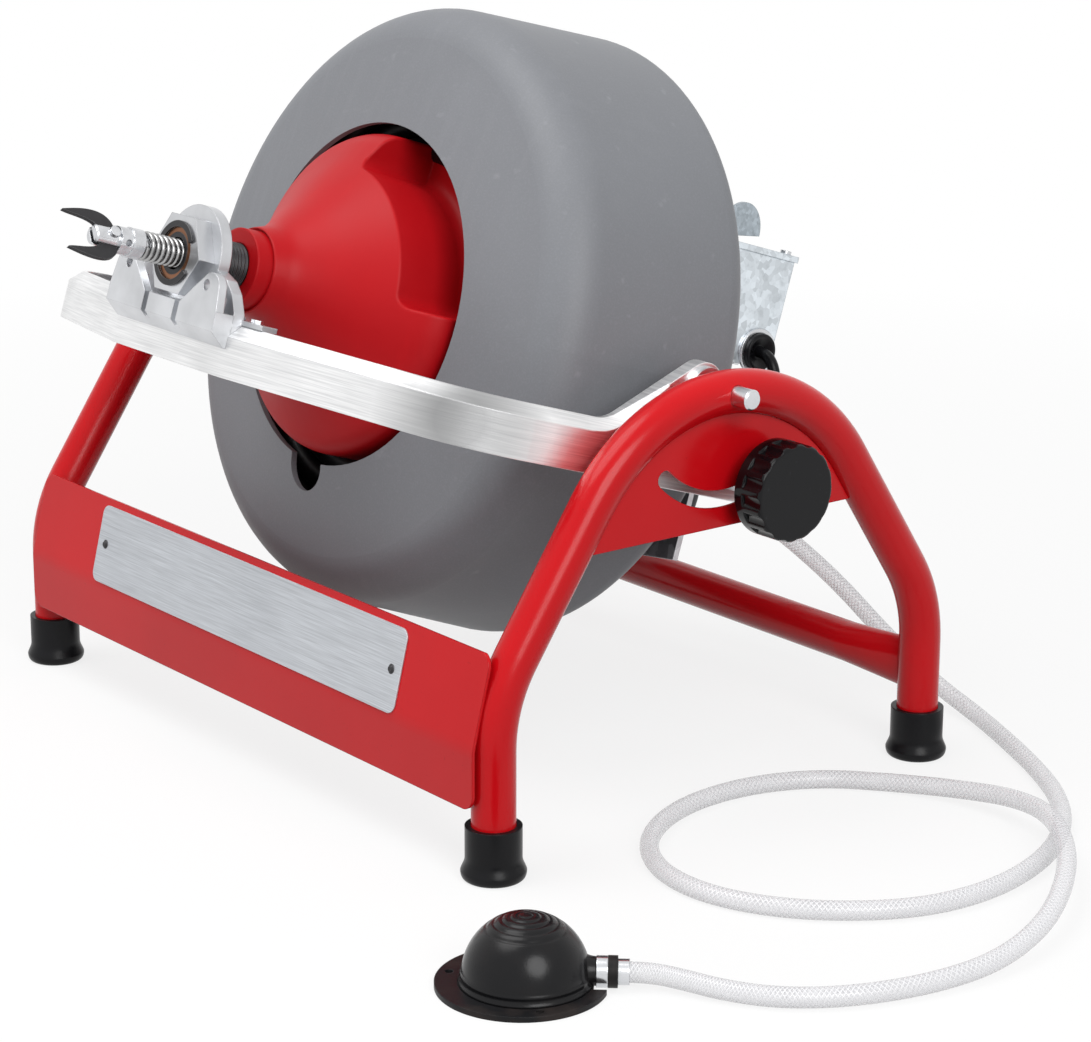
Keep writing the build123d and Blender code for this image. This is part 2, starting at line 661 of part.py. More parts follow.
def drum_shell():
    rear_inside = DRUM_REAR_T + DRUM_WALL
    section = drum_outline() - offset(drum_outline(), -DRUM_WALL)
    corner = (Align.MIN, Align.MIN)
    section -= Pos(0, rear_inside) * Rectangle(OPENING_R, 2 * DRUM_LIP_T, align=corner)
    section -= Pos(0, DRUM_REAR_T) * Rectangle(HUB_TAIL_R + RUN_FIT, 2 * DRUM_WALL, align=corner)
    notch_h = -(OPENING_R + NOTCH_DEPTH - NOTCH_R)
    notch = Pos(NOTCH_X, notch_h) * Circle(NOTCH_R)
    notch += Pos(NOTCH_X, notch_h) * Rectangle(2 * NOTCH_R, NOTCH_DEPTH, align=(Align.CENTER, Align.MIN))
    return revolve(TURNING * section, Axis.Y) - plate_t(notch, DRUM_FRONT_T - DRUM_WALL, drum_lip_apex())


def drum_hub():
    rear_inside = DRUM_REAR_T + DRUM_WALL
    bore = BEARING_R + RUN_FIT
    flange_t = rear_inside + HUB_FLANGE_T
    return turned(
        (bore, PULLEY_T), (HUB_TAIL_R, PULLEY_T), (HUB_TAIL_R, rear_inside), (HUB_FLANGE_R, rear_inside),
        (HUB_FLANGE_R, flange_t), (HUB_R, flange_t), (HUB_R, HUB_FRONT_T), (bore, HUB_FRONT_T))


def hub_bearing(start_t):
    ring = bar_t(BEARING_R, start_t, start_t + BEARING_W)
    return ring - bar_t(SPINDLE_R + RUN_FIT, start_t, start_t + BEARING_W)


def drum_spindle():
    flange = bar_t(SPINDLE_FLANGE_R, REAR_T, REAR_T + SPINDLE_FLANGE_T)
    return bar_t(SPINDLE_R, MOUNT_T - SPINDLE_TAIL, HUB_FRONT_T) + flange


def pulley(bore, pitch):
    """A grooved pulley between the drum and the rear plate."""
    rim = pitch + BELT_T / 2
    root = pitch - BELT_T / 2 - BELT_FIT
    middle = PULLEY_T + PULLEY_W / 2
    half = BELT_W / 2 + BELT_FIT
    return turned(
        (bore, PULLEY_T), (rim, PULLEY_T), (rim, middle - half), (root, middle - half), (root, middle + half),
        (rim, middle + half), (rim, PULLEY_T + PULLEY_W), (bore, PULLEY_T + PULLEY_W))


def belt_loop(reach):
    """The area inside a loop round both pulleys, a reach outside their pitch circles."""
    circles = Circle(DRUM_PITCH_R + reach).edges()
    circles += (Pos(0, -MOTOR_DROP) * Circle(MOTOR_PITCH_R + reach)).edges()
    return make_hull(circles)


def v_belt():
    middle = PULLEY_T + PULLEY_W / 2
    return plate_t(belt_loop(BELT_T / 2) - belt_loop(-BELT_T / 2), middle - BELT_W / 2, middle + BELT_W / 2)


def motor_casing():
    body = bar_t(MOTOR_R, MOTOR_REAR_T, MOUNT_T)
    for i in range(FIN_COUNT):
        fin = block((-FIN_W / 2, FIN_W / 2), (MOTOR_REAR_T, MOUNT_T - MOTOR_WALL), (0, MOTOR_R + FIN_HEIGHT))
        body += Rot(0, 360 * i / FIN_COUNT, 0) * fin
    body = Pos(0, 0, -MOTOR_DROP) * body
    long_t = (BOX_T[0] + PEDESTAL_INSET, BOX_T[1] - PEDESTAL_INSET)
    body += block(PEDESTAL_X, (max(long_t[0], MOTOR_REAR_T), long_t[1]), (-MOTOR_DROP, BOX_H[0]))
    well_x = (PEDESTAL_X[0] + PEDESTAL_WALL, PEDESTAL_X[1] - PEDESTAL_WALL)
    well_t = (max(long_t[0], MOTOR_REAR_T) + PEDESTAL_WALL, long_t[1] - PEDESTAL_WALL)
    body -= block(well_x, well_t, (MOTOR_R + FIN_HEIGHT - MOTOR_DROP, BOX_H[0]))
    body -= bar_t(MOTOR_R - MOTOR_WALL, MOTOR_REAR_T, MOUNT_T - MOTOR_WALL, h=-MOTOR_DROP)
    return body - bar_t(SHAFT_R + RUN_FIT, MOTOR_REAR_T, MOUNT_T, h=-MOTOR_DROP)


def motor_end_cap():
    cap = bar_t(MOTOR_R, MOTOR_REAR_T - END_CAP_T, MOTOR_REAR_T)
    cap = fillet(cap.edges().group_by(Axis.Y)[-1], END_CAP_T / 2)
    cap += bar_t(MOTOR_R - MOTOR_WALL - RUN_FIT, MOTOR_REAR_T, MOTOR_REAR_T + END_SPIGOT)
    for i in range(CAP_VENTS):
        turn = 2 * pi * i / CAP_VENTS
        cap -= bar_t(VENT_R, MOTOR_REAR_T - END_CAP_T, MOTOR_REAR_T + END_SPIGOT,
                     VENT_ORBIT * cos(turn), VENT_ORBIT * sin(turn))
    cap -= bar_t(SHAFT_R + RUN_FIT, MOTOR_REAR_T - END_CAP_T / 2, MOTOR_REAR_T + END_SPIGOT)
    return Pos(0, 0, -MOTOR_DROP) * cap


def motor_stator():
    rear, fore = MOTOR_REAR_T + CORE_INSET, MOUNT_T - MOTOR_WALL - CORE_INSET
    ring = bar_t(MOTOR_R - MOTOR_WALL - RUN_FIT, rear, fore) - bar_t(ROTOR_R + ROTOR_GAP, rear, fore)
    return Pos(0, 0, -MOTOR_DROP) * ring


def motor_rotor():
    rear, fore = MOTOR_REAR_T + CORE_INSET, MOUNT_T - MOTOR_WALL - CORE_INSET
    shaft = bar_t(SHAFT_R, MOTOR_REAR_T - END_CAP_T / 2 + SIDE_FIT, PULLEY_T + PULLEY_W + SHAFT_R / 2)
    return Pos(0, 0, -MOTOR_DROP) * (shaft + bar_t(ROTOR_R, rear, fore))


def lid_screw_places():
    """Two screws at the lid's rear corners, and one at its front beside the lever."""
    rear_t, front_t = inset(BOX_T, SCREW_INSET)
    return [(x, rear_t) for x in inset(BOX_X, SCREW_INSET)] + [(sum(BOX_X) / 2, front_t)]


def inset(span, by):
    return span[0] + by, span[1] - by


def switch_box():
    box = block(BOX_X, BOX_T, BOX_H)
    box -= block(inset(BOX_X, SHEET), inset(BOX_T, SHEET), inset(BOX_H, SHEET))
    box -= block(inset(BOX_X, BOX_RIM), inset(BOX_T, BOX_RIM), (BOX_H[1] - 2 * SHEET, BOX_H[1]))
    for x, t in lid_screw_places():
        box -= Pos(x, -t, BOX_H[1]) * Cylinder(SCREW_R + RUN_FIT, 4 * SHEET)
    return box - bar_x(GLAND_NECK_R + RUN_FIT, BOX_X[1] - 2 * SHEET, BOX_X[1], -GLAND_T, GLAND_H)


def lug_places():
    """Where the faces of the two lever lugs that look at the hub between them are, inside the paddle."""
    near = LEVER_X - LEVER_THICK / 2 - SIDE_FIT - LUG_T
    return near, near - 2 * (LEVER_HUB_HALF + SIDE_FIT)


def box_lid():
    lid = block(inset(BOX_X, -LID_LAP), inset(BOX_T, -LID_LAP), (BOX_H[1], LID_TOP))
    for x, t in lid_screw_places():
        lid -= Pos(x, -t, LID_TOP) * Cylinder(SCREW_R + RUN_FIT, 4 * LID_T)
    lug = SlotOverall(2 * (LUG_R + LEVER_LIFT), 2 * LUG_R, rotation=90) - Circle(LEVER_PIN_R + RUN_FIT)
    near, far = lug_places()
    lugs = plate_x(lug, near, near + LUG_T) + plate_x(lug, far - LUG_T, far)
    lugs = Pos(0, -LEVER_T, LID_TOP + LEVER_LIFT) * lugs
    return lid + (lugs - block(inset(BOX_X, -LID_LAP), inset(BOX_T, -LID_LAP), (BOX_H[0], BOX_H[1])))


def lid_screws():
    screws = []
    for x, t in lid_screw_places():
        stem = Pos(x, -t, BOX_H[1] - SCREW_TAIL) * Cylinder(SCREW_R, LID_T + SCREW_TAIL, align=BASE)
        screws.append(stem + Pos(x, -t, LID_TOP) * Cylinder(SCREW_HEAD_R, SCREW_HEAD_T, align=BASE))
    return screws


def direction_lever():
    """A rounded paddle beside a hub that rocks between two lugs on the box lid."""
    upper = Pos(0, LEVER_SKIRT) * Rot(0, 0, -LEVER_SLANT) * Rectangle(
        4 * LEVER_HALF, 2 * LEVER_RISE, align=(Align.CENTER, Align.MIN))
    paddle = Pos(-LEVER_BACK, 0) * Ellipse(LEVER_HALF, LEVER_RISE) & upper
    lever = plate_x(paddle, LEVER_X - LEVER_THICK / 2, LEVER_X + LEVER_THICK / 2)
    near, far = lug_places()
    lever += bar_x(LEVER_HUB_R, far + SIDE_FIT, near - SIDE_FIT)
    lever += bar_x(LEVER_PIN_R, far - LUG_T, LEVER_X)
    return Pos(0, -LEVER_T, LID_TOP + LEVER_LIFT) * lever


def cord_gland():
    face = BOX_X[1]
    mouth = Pos(face + GLAND_SEAT, -GLAND_T, GLAND_H) * Rot(0, 90, 0) * Cone(
        GLAND_SEAT_R, GLAND_MOUTH_R, GLAND_OUT - GLAND_SEAT, align=BASE)
    flange = bar_x(GLAND_R, face, face + GLAND_OUT, -GLAND_T, GLAND_H)
    flange = fillet(flange.edges().group_by(Axis.X)[-1], (GLAND_R - GLAND_MOUTH_R) / 2)
    return flange + bar_x(GLAND_NECK_R, face - 3 * SHEET, face, -GLAND_T, GLAND_H) - mouth


def hose_barb():
    stem = Pos(BARB_X, -BARB_T, BOX_H[0] - BARB_LENGTH) * Cylinder(BARB_R, BARB_LENGTH, align=BASE)
    collar = Pos(BARB_X, -BARB_T, BOX_H[0] - SHEET) * Cylinder(2 * BARB_R, SHEET, align=BASE)
    return stem + collar


def foot_tab():
    """A tab of the nozzle plate, which follows the yoke's top round its slant."""
    edges = []
    for t in TAB_T:
        edges.append([(x, max(0, x - NOSE_HALF) * tan(YOKE_SLANT) - t) for x in (TAB_X[0], NOSE_HALF, TAB_X[1])])
    outline = Polygon(*edges[0], *reversed(edges[1]), align=None)
    return Pos(0, 0, YOKE_TOP) * extrude(outline, amount=TAB_THICK, dir=(0, 0, 1))


def nozzle_plate(yoke_solid):
    right = ((STEM_R, 0), *STEM_SIDE)
    stem = Circle(STEM_R) + Polygon(*right, *[(-x, h) for x, h in reversed(right)], align=None)
    for side in (-1, 1):
        stem -= Pos(side * STEM_WINDOW_AT[0], STEM_WINDOW_AT[1]) * Rectangle(*STEM_WINDOW)
    plate = plate_t(stem, *STEM_T)
    plate += pair(foot_tab())
    plate -= bar_t(NOZZLE_BUSH_R + RUN_FIT, *STEM_T)
    for x in (-TAB_SCREW_X, TAB_SCREW_X):
        plate -= tab_screw_bar(x, SCREW_R + RUN_FIT)
    return plate - yoke_solid


def saddle_screws():
    screws = []
    for x in (-TAB_SCREW_X, TAB_SCREW_X):
        stem = tab_screw_bar(x, SCREW_R)
        top = stem.bounding_box().center()
        head = Pos(x, top.Y, YOKE_TOP + TAB_THICK) * extrude(RegularPolygon(SCREW_HEX_R, 6), SCREW_HEAD_T)
        screws.append(stem + head)
    return screws


def nozzle_hex():
    nut = RegularPolygon(HEX_FLATS / 2, 6, major_radius=False) - Circle(NOZZLE_BUSH_R + RUN_FIT)
    return plate_t(nut, STEM_T[1], HEX_FRONT_T)


def nozzle_saddle(yoke_solid):
    low, top = SADDLE_H
    side = Polygon(
        (STEM_T[1], top), (SADDLE_FRONT_T, top), (SADDLE_FRONT_T, low), (NOSE_T + SADDLE_ROOT_T, SADDLE_ROOT_H),
        (STEM_T[1], SADDLE_ROOT_H), align=None)
    saddle = plate_x(side, -SADDLE_HALF, SADDLE_HALF)
    groove_t = (SADDLE_FRONT_T - GROOVE_DEPTH, SADDLE_FRONT_T)
    saddle -= pair(block(GROOVE_X, groove_t, (SADDLE_ROOT_H, top)))
    ear = make_hull((Pos(*EAR_AT) * Circle(EAR_R)).edges() + Polyline(
        (EAR_FOOT_X[0], top), (EAR_FOOT_X[1], top)).edges())
    ear -= Pos(*EAR_HOLE_AT) * Circle(EAR_HOLE_R)
    saddle += pair(plate_t(ear, SADDLE_FRONT_T - EAR_T, SADDLE_FRONT_T))
    return saddle - yoke_solid


def nozzle_bush():
    start = NOZZLE_SHOULDER_T + SIDE_FIT
    return bar_t(NOZZLE_BUSH_R, start, HEX_FRONT_T) - bar_t(JOURNAL_R + RUN_FIT, start, HEX_FRONT_T)


def retaining_ring():
    ring = Circle(CLIP_R) - Circle(NOZZLE_BUSH_R + RUN_FIT)
    half = radians(CLIP_GAP_ANGLE / 2)
    reach = 2 * CLIP_R
    ring -= Polygon((0, 0), (reach, -reach * tan(half)), (reach, reach * tan(half)), align=None)
    return plate_t(ring, HEX_FRONT_T, HEX_FRONT_T + CLIP_T)


def inner_cone():
    skirt_t = DRUM_REAR_T + DRUM_WALL + HUB_FLANGE_T
    rim_r, rim_t = CONE_PROFILE[0]
    neck_r, neck_t = CONE_PROFILE[-1]
    bore = NOZZLE_R + RUN_FIT
    skirt = rim_r - CONE_SKIRT_WALL
    outside = Spline(*CONE_PROFILE, tangents=[(0, 1), (0, 1)])
    inside = Polyline(
        (neck_r, neck_t), (bore, neck_t), (bore, NOZZLE_SEAT_T), *reversed(CONE_INSIDE),
        (skirt, CONE_THICK_T), (skirt, skirt_t), (rim_r, skirt_t), (rim_r, rim_t))
    cone = revolve(TURNING * make_face([*outside.edges(), *inside.edges()]), Axis.Y)
    sector = revolve(TURNING * Polygon(*POCKET_SECTION, align=None), Axis.Y, revolution_arc=POCKET_WIDTH)
    inner_edges = [edge for edge in sector.edges() if max(hypot(v.X, v.Z) for v in edge.vertices()) < rim_r]
    sector = fillet(inner_edges, POCKET_CORNER_R)
    pocket = Rot(0, -(POCKET_ANGLE + POCKET_WIDTH / 2), 0) * sector
    cut = cone - pocket
    return fillet(new_edges(cone, pocket, combined=cut), POCKET_EDGE_R)


def cable_coil():
    """The stored cable as one ring that lies against the drum's wall."""
    slope = (DRUM_REAR_R - DRUM_FRONT_R) / (DRUM_FRONT_T - DRUM_REAR_T)
    inside = DRUM_REAR_R - (DRUM_WALL + STORED_FIT) * sqrt(1 + slope * slope)
    rear_r = inside - slope * (STORED_REAR_T - DRUM_REAR_T)
    front_r = inside - slope * (STORED_FRONT_T - DRUM_REAR_T)
    return turned(
        (STORED_R, STORED_REAR_T), (rear_r, STORED_REAR_T), (front_r, STORED_FRONT_T),
        (STORED_R, STORED_FRONT_T))


def nozzle_tube():
    outline = [(NOZZLE_BORE_R, NOZZLE_SEAT_T), (NOZZLE_R, NOZZLE_SEAT_T)]
    thread_t = NOZZLE_SHOULDER_T - (THREAD_COUNT + 0.5) * THREAD_PITCH
    for i in range(THREAD_COUNT):
        crest_t = thread_t + i * THREAD_PITCH
        outline += [(NOZZLE_R, crest_t), (NOZZLE_R - THREAD_DEPTH, crest_t + THREAD_PITCH / 2)]
    outline += [(NOZZLE_R, thread_t + THREAD_COUNT * THREAD_PITCH), (NOZZLE_R, NOZZLE_SHOULDER_T)]
    outline += [(JOURNAL_R, NOZZLE_SHOULDER_T), (JOURNAL_R, HEX_FRONT_T), (NOZZLE_BORE_R, HEX_FRONT_T)]
    return turned(*outline)


def biarc(start, start_way, end, end_way):
    """Two tangent arcs from one point and direction to another."""
    chord = end - start
    ways = start_way + end_way
    along = chord.dot(ways)
    spread = 4 - ways.dot(ways)
    reach = (sqrt(along * along + chord.dot(chord) * spread) - along) / spread
    first = start + start_way * reach
    second = end - end_way * reach
    joint = (first + second) / 2
    return [Edge.make_tangent_arc(start, start_way, joint),
            Edge.make_tangent_arc(joint, (second - first).normalized(), end)]


def least_gap(path, radius):
    """The least clear gap of a wound tube to itself, from points along its middle line."""
    step = radius / 3
    count = int(path.length / step)
    apart = int(4 * radius / step)
    spots = [tuple(spot) for spot in path.positions([i / count for i in range(count + 1)])]
    least = path.length
    for i, (x, y, z) in enumerate(spots):
        for u, v, w in spots[i + apart:]:
            square = (x - u) ** 2 + (y - v) ** 2 + (z - w) ** 2
            if square < least * least:
                least = sqrt(square)
    return least - 2 * radius


def tube_along(path, radius):
    return sweep(Plane(path @ 0, z_dir=path % 0) * Circle(radius), path)


def drain_cable():
    """The visible end of the cable: a close spring of quarter turns, with a short straight end each way."""
    rise = SPRING_PITCH / (2 * pi * SPRING_R)
    start_t = SPRING_END_T - SPRING_TURNS * SPRING_PITCH

    def spot(quarter):
        turn = quarter * pi / 2
        return Vector(SPRING_R * cos(turn), -(start_t + quarter * SPRING_PITCH / 4), SPRING_R * sin(turn))

    def way(quarter):
        turn = quarter * pi / 2
        return Vector(-sin(turn), -rise, cos(turn)).normalized()

    last = 4 * SPRING_TURNS
    edges = [Edge.make_line(spot(0) - way(0) * 2 * WIRE_R, spot(0))]
    for i in range(last):
        edges += biarc(spot(i), way(i), spot(i + 1), way(i + 1))
    edges.append(Edge.make_line(spot(last), spot(last) + way(last) * 2 * WIRE_R))
    path = Wire(edges)
    print("drain_cable least gap", round(least_gap(path, WIRE_R), 2))
    return tube_along(path, WIRE_R)


def cutter_plane():
    return Plane((0, 0, 0), x_dir=(-sin(CUTTER_TURN), 0, cos(CUTTER_TURN)),
                 z_dir=(cos(CUTTER_TURN), 0, sin(CUTTER_TURN)))


def cutter_screw_bar(radius, reach):
    """A bar across the cutter, square to its flat faces."""
    return cutter_plane() * Pos(0, CUTTER_SCREW_T, 0) * Cylinder(radius, 2 * reach)


def cable_coupling():
    body = turned(
        (0, CORE_BACK_T), (CORE_R, CORE_BACK_T), (CORE_R, COUPLING_BACK_T), (COUPLING_R, COUPLING_BACK_T),
        (COUPLING_R, COUPLING_STEP_T), (COUPLING_FRONT_R, COUPLING_STEP_T),
        (COUPLING_FRONT_R, COUPLING_FRONT_T), (COUPLING_NOSE_R, COUPLING_FRONT_T),
        (COUPLING_NOSE_R, COUPLING_NOSE_T), (0, COUPLING_NOSE_T))
    rim = body.edges().filter_by(GeomType.CIRCLE).group_by(Axis.Y)[0]
    body = fillet(rim, COUPLING_NOSE_R / 3)
    slot_length = COUPLING_NOSE_T - CUTTER_BASE_T
    slot = Pos(0, CUTTER_BASE_T + slot_length / 2, 0) * Box(
        4 * COUPLING_R, slot_length + RUN_FIT, CUTTER_THICK + 2 * RUN_FIT)
    body -= cutter_plane() * slot
    body -= Pos(0, -COUPLING_HOLE_T, 0) * Rot(0, 90, 0) * Cylinder(COUPLING_HOLE_R, 4 * COUPLING_R)
    return body - cutter_screw_bar(CUTTER_SCREW_R + RUN_FIT, 2 * COUPLING_R)


def cutter():
    half = make_face([
        *Spline(*CUTTER_OUTSIDE).edges(), *Spline(*CUTTER_INSIDE).edges(),
        *Polyline(CUTTER_INSIDE[-1], (0, CUTTER_BASE_T), CUTTER_OUTSIDE[0]).edges()])
    fork = extrude(cutter_plane() * (half + mirror(half, Plane.YZ)), amount=CUTTER_THICK / 2, both=True)
    return fork - cutter_screw_bar(CUTTER_SCREW_R + RUN_FIT, CUTTER_THICK)


def cutter_screw():
    head = Cylinder(CUTTER_SCREW_HEAD_R, CUTTER_SCREW_R, align=BASE)
    head = cutter_plane() * Pos(0, CUTTER_SCREW_T, COUPLING_NOSE_R) * head
    return cutter_screw_bar(CUTTER_SCREW_R, COUPLING_NOSE_R) + head


def nipple(reach):
    """A place on the pedal's nipple axis, with Z pointing out along it."""
    return Pos(*PEDAL_AT, NIPPLE_Z) * Rot(0, 0, NIPPLE_ANGLE) * Rot(0, 90, 0) * Pos(0, 0, reach)


def clamp_spans():
    """Where the two hose clamps start along the nipple, with the radius that each one grips."""
    ring_start = NECK_CLAMP + CLAMP_T
    return ((NECK_CLAMP, NECK_R), (ring_start + NECK_RING_T, HOSE_R))


def pedal_base():
    flange = Cylinder(PEDAL_FLANGE_R, PEDAL_FLANGE_T, align=BASE)
    hole = Pos(PEDAL_HOLE_ORBIT, 0, 0) * Cylinder(PEDAL_HOLE_R, 4 * PEDAL_FLANGE_T)
    for turn in PEDAL_HOLE_TURNS:
        flange -= Rot(0, 0, turn) * hole
    gate = Pos(NECK_BULGE, 0, 0) * Box(PEDAL_FLANGE_R, 2 * NECK_RING_R + 2 * CLAMP_WALL, 4 * PEDAL_FLANGE_T,
                                       align=(Align.MIN, Align.CENTER, Align.CENTER))
    flange = Pos(-PEDAL_FLANGE_BACK, 0, 0) * flange - gate
    base = Pos(*PEDAL_AT, 0) * Rot(0, 0, NIPPLE_ANGLE) * flange
    base += nipple(NECK_ROOT) * Cone(NECK_ROOT_R, NECK_R, NECK_BULGE - NECK_ROOT, align=BASE)
    base += nipple(NECK_BULGE) * Cylinder(NECK_R, NECK_CLAMP + CLAMP_T - NECK_BULGE, align=BASE)
    return base + nipple(NECK_CLAMP + CLAMP_T) * Cylinder(NECK_RING_R, NECK_RING_T, align=BASE)


def dome_outline(wall):
    low = (DOME_R - wall, PEDAL_FLANGE_T)
    top = (0, DOME_TOP - wall)
    rise = DOME_TOP - wall - PEDAL_FLANGE_T
    shoulder = ((DOME_R - wall) * SHOULDER_OUT, PEDAL_FLANGE_T + rise * SHOULDER_UP)
    crown = Spline(low, shoulder, top, tangents=[(0, 1), (-1, 0)])
    return make_face([*crown.edges(), *Polyline(top, (0, PEDAL_FLANGE_T), low).edges()])


def pedal_dome():
    dome = revolve(Plane.XZ * (dome_outline(0) - dome_outline(DOME_WALL)), Axis.Z)
    for groove in DOME_GROOVES:
        lift = dome_height(groove)
        dome -= Pos(0, 0, lift) * Torus(groove, DOME_GROOVE_R)
    dome = Pos(*PEDAL_AT, 0) * dome
    return dome - nipple(NECK_ROOT - DOME_WALL) * Cylinder(NECK_ROOT_R + DOME_FIT, PEDAL_FLANGE_R, align=BASE)


def dome_height(radius):
    """The height of the dome's outer face at a radius."""
    crown = revolve(Plane.XZ * dome_outline(0), Axis.Z)
    probe = Edge.make_line((radius, 0, PEDAL_FLANGE_T), (radius, 0, 2 * DOME_TOP))
    return (crown & probe).bounding_box().max.Z


def hose_clamps():
    clamps = []
    for reach, grip in clamp_spans():
        ring = Cylinder(grip + CLAMP_FIT + CLAMP_WALL, CLAMP_T, align=BASE)
        clamps.append(nipple(reach) * (ring - Cylinder(grip + CLAMP_FIT, CLAMP_T, align=BASE)))
    return clamps


def cord_path(name, points, radius):
    """A cord's middle line, with each bend as large as its two runs allow."""
    points = [Vector(*point) for point in points]
    bends = []
    for before, here, after in zip(points, points[1:], points[2:]):
        turn = radians((here - before).get_angle(after - here))
        bends.append(BEND_SHARE * min((here - before).length, (after - here).length) / tan(turn / 2))
    path = FilletPolyline(*points, radius=bends)
    print(name, "length", round(path.length), "radii", [round(bend) for bend in bends])
    return path


def in_stand(x, t, h):
    """A place of the level cradle, as it stands when tilted."""
    spot = (CRADLE * Pos(x, -t, h)).position
    return spot.X, spot.Y, spot.Z


def hose_route():
    start = nipple(clamp_spans()[1][0]).position
    straight = nipple(clamp_spans()[1][0] + 3 * HOSE_R).position
    barb_tip = BOX_H[0] - BARB_LENGTH
    return [
        tuple(start), tuple(straight), (426, -181, 7.6), (447, -171, 6.2), (471, -153, HOSE_FLOOR),
        (491, -123, HOSE_FLOOR), (504, -82, HOSE_FLOOR), (508, -38, 7.0), (499, 5, 12.0),
        (478, 44, 17.5), (446, 82, HUMP_Z), (404, 114, HUMP_Z), (362, 128, 15.0), (320, 123, 9.0),
        (282, 106, HOSE_FLOOR), (251, 78, HOSE_FLOOR), (234, 38, HOSE_FLOOR), (233, -7, HOSE_FLOOR),
        (247, -47, HOSE_FLOOR), (273, -78, HOSE_FLOOR), (308, -95, HOSE_FLOOR), (346, -95, HOSE_FLOOR),
        (382, -78, HOSE_FLOOR), (411, -49, HOSE_FLOOR), (431, -13, HOSE_FLOOR), (436, 28, HOSE_FLOOR),
        (429, 69, HOSE_FLOOR), (413, 108, HOSE_FLOOR), (389, 141, HOSE_FLOOR), (358, 169, HOSE_FLOOR),
        (318, 193, HOSE_FLOOR), (270, 216, HOSE_FLOOR), (226, 234, 6.5), (187, 236, 16.0), (152, 221, 46.0),
        (126, 209, 72.0), (102, 195, 94.0), (84, 178, 113.0), (71, 164, 132.0), (61, 155, 152.0),
        in_stand(BARB_X, BARB_T, barb_tip - 4 * HOSE_R), in_stand(BARB_X, BARB_T, barb_tip)]


def cord_route():
    seat = BOX_X[1] + GLAND_SEAT
    coil_x, coil_y = COIL_AT[0] - 2 * CORD_R, COIL_AT[1] + COIL_R
    return [
        in_stand(seat, GLAND_T, GLAND_H), in_stand(seat + 2 * CORD_R, GLAND_T, GLAND_H), (97.2, 171.5, 218),
        (99.4, 171.2, 208.5), (99.8, 171.3, 197), (97, 174, 182), (90, 178, 166), (79, 182, 152),
        (62, 186, 142), (40, 188, 136), (10, 189, 130.5), (-25, 189, 124), (-60, 186, 116), (-92, 177, 106),
        (-120, 161, 95), (-146, 140, 78), (-166, 115, 55), (-178, 88, 33), (-183, 66, 18), (-182, 48, 9),
        (-174, 35, 6), (-161, coil_y, CORD_Z), (coil_x, coil_y, CORD_Z)]


def coil_path():
    """The put-away cord: half turns inward on the floor, one half turn up a layer, half turns outward."""
    low, high = CORD_Z, CORD_Z + COIL_LAYER
    radii = [COIL_R - i * COIL_PITCH / 2 for i in range(COIL_HALF_TURNS)]
    x, side = COIL_R, -1
    edges = [Edge.make_line((x, 2 * CORD_R, low), (x, 0, low))]
    for height, layer in ((low, radii), (high, radii[::-1])):
        for radius in layer:
            end = x + 2 * side * radius
            edges.append(Edge.make_three_point_arc(
                (x, 0, height), ((x + end) / 2, side * radius, height), (end, 0, height)))
            x, side = end, -side
        if height == low:
            end = x + side * (2 * radii[-1] - COIL_PITCH)
            start, finish = Vector(x, 0, low), Vector(end, 0, high)
            edges += biarc(start, Vector(0, side, 0), finish, Vector(0, -side, 0))
            x, side = end, -side
    edges.append(Edge.make_line((x, 0, high), (x, 2 * CORD_R, high)))
    return Wire(edges)


def coil_tie():
    """A strap round all the turns on the coil's near side."""
    out_r = COIL_R + CORD_R + TIE_FIT
    inmost = COIL_R - (COIL_HALF_TURNS - 1) * COIL_PITCH / 2 - CORD_R
    in_r = sqrt(inmost ** 2 - (TIE_W + COIL_PITCH) ** 2 / 4) - TIE_FIT
    top = CORD_Z + COIL_LAYER + CORD_R + TIE_FIT
    hole = Pos(-(out_r + in_r) / 2, (TIE_T + top) / 2) * RectangleRounded(
        out_r - in_r, top - TIE_T, CORD_R)
    strap = offset(hole, TIE_T) - hole
    band = extrude(Plane.YZ * strap, amount=TIE_W / 2, both=True)
    return Pos(-COIL_PITCH / 2, 0, 0) * band


def plug(start):
    """A moulded plug with a tapered relief, two flat blades and an earth pin, pointing along +Y."""
    relief = Rot(-90, 0, 0) * Cone(CORD_R, RELIEF_R, RELIEF_LENGTH, align=BASE)
    body = Pos(0, RELIEF_LENGTH + PLUG_LENGTH / 2, 0) * Box(PLUG_W, PLUG_LENGTH, PLUG_H)
    body = fillet(body.edges().filter_by(Axis.Y), PLUG_EDGE_R)
    end = RELIEF_LENGTH + PLUG_LENGTH
    for side in (-1, 1):
        body += Pos(side * BLADE_SPACING / 2, end + BLADE_SIZE[1] / 2, EARTH_DROP / 2) * Box(*BLADE_SIZE)
    body += Pos(0, end, -EARTH_DROP) * Rot(-90, 0, 0) * Cylinder(EARTH_R, EARTH_LENGTH, align=BASE)
    return Pos(*start) * (relief + body)


def stand_pieces():
    feet = {"front_left_foot": (-1, -1), "front_right_foot": (1, -1), "rear_left_foot": (-1, 1),
            "rear_right_foot": (1, 1)}
    pieces = {name: foot(x * ARCH_X, y * LEG_Y) for name, (x, y) in feet.items()}
    for name, x in (("left", -ARCH_X), ("right", ARCH_X)):
        pieces[name + "_arch"] = arch(x)
    pieces["right_gusset"] = gusset(ARCH_X)
    pieces["right_pivot_pin"], pieces["left_pivot_pin"] = pair(pivot_pin())
    pieces["front_panel"] = front_panel()
    pieces["name_plate"] = name_plate()
    pieces["plate_rivets"] = plate_rivets()
    pieces["rear_cross_tube"] = rear_cross_tube()
    return pieces


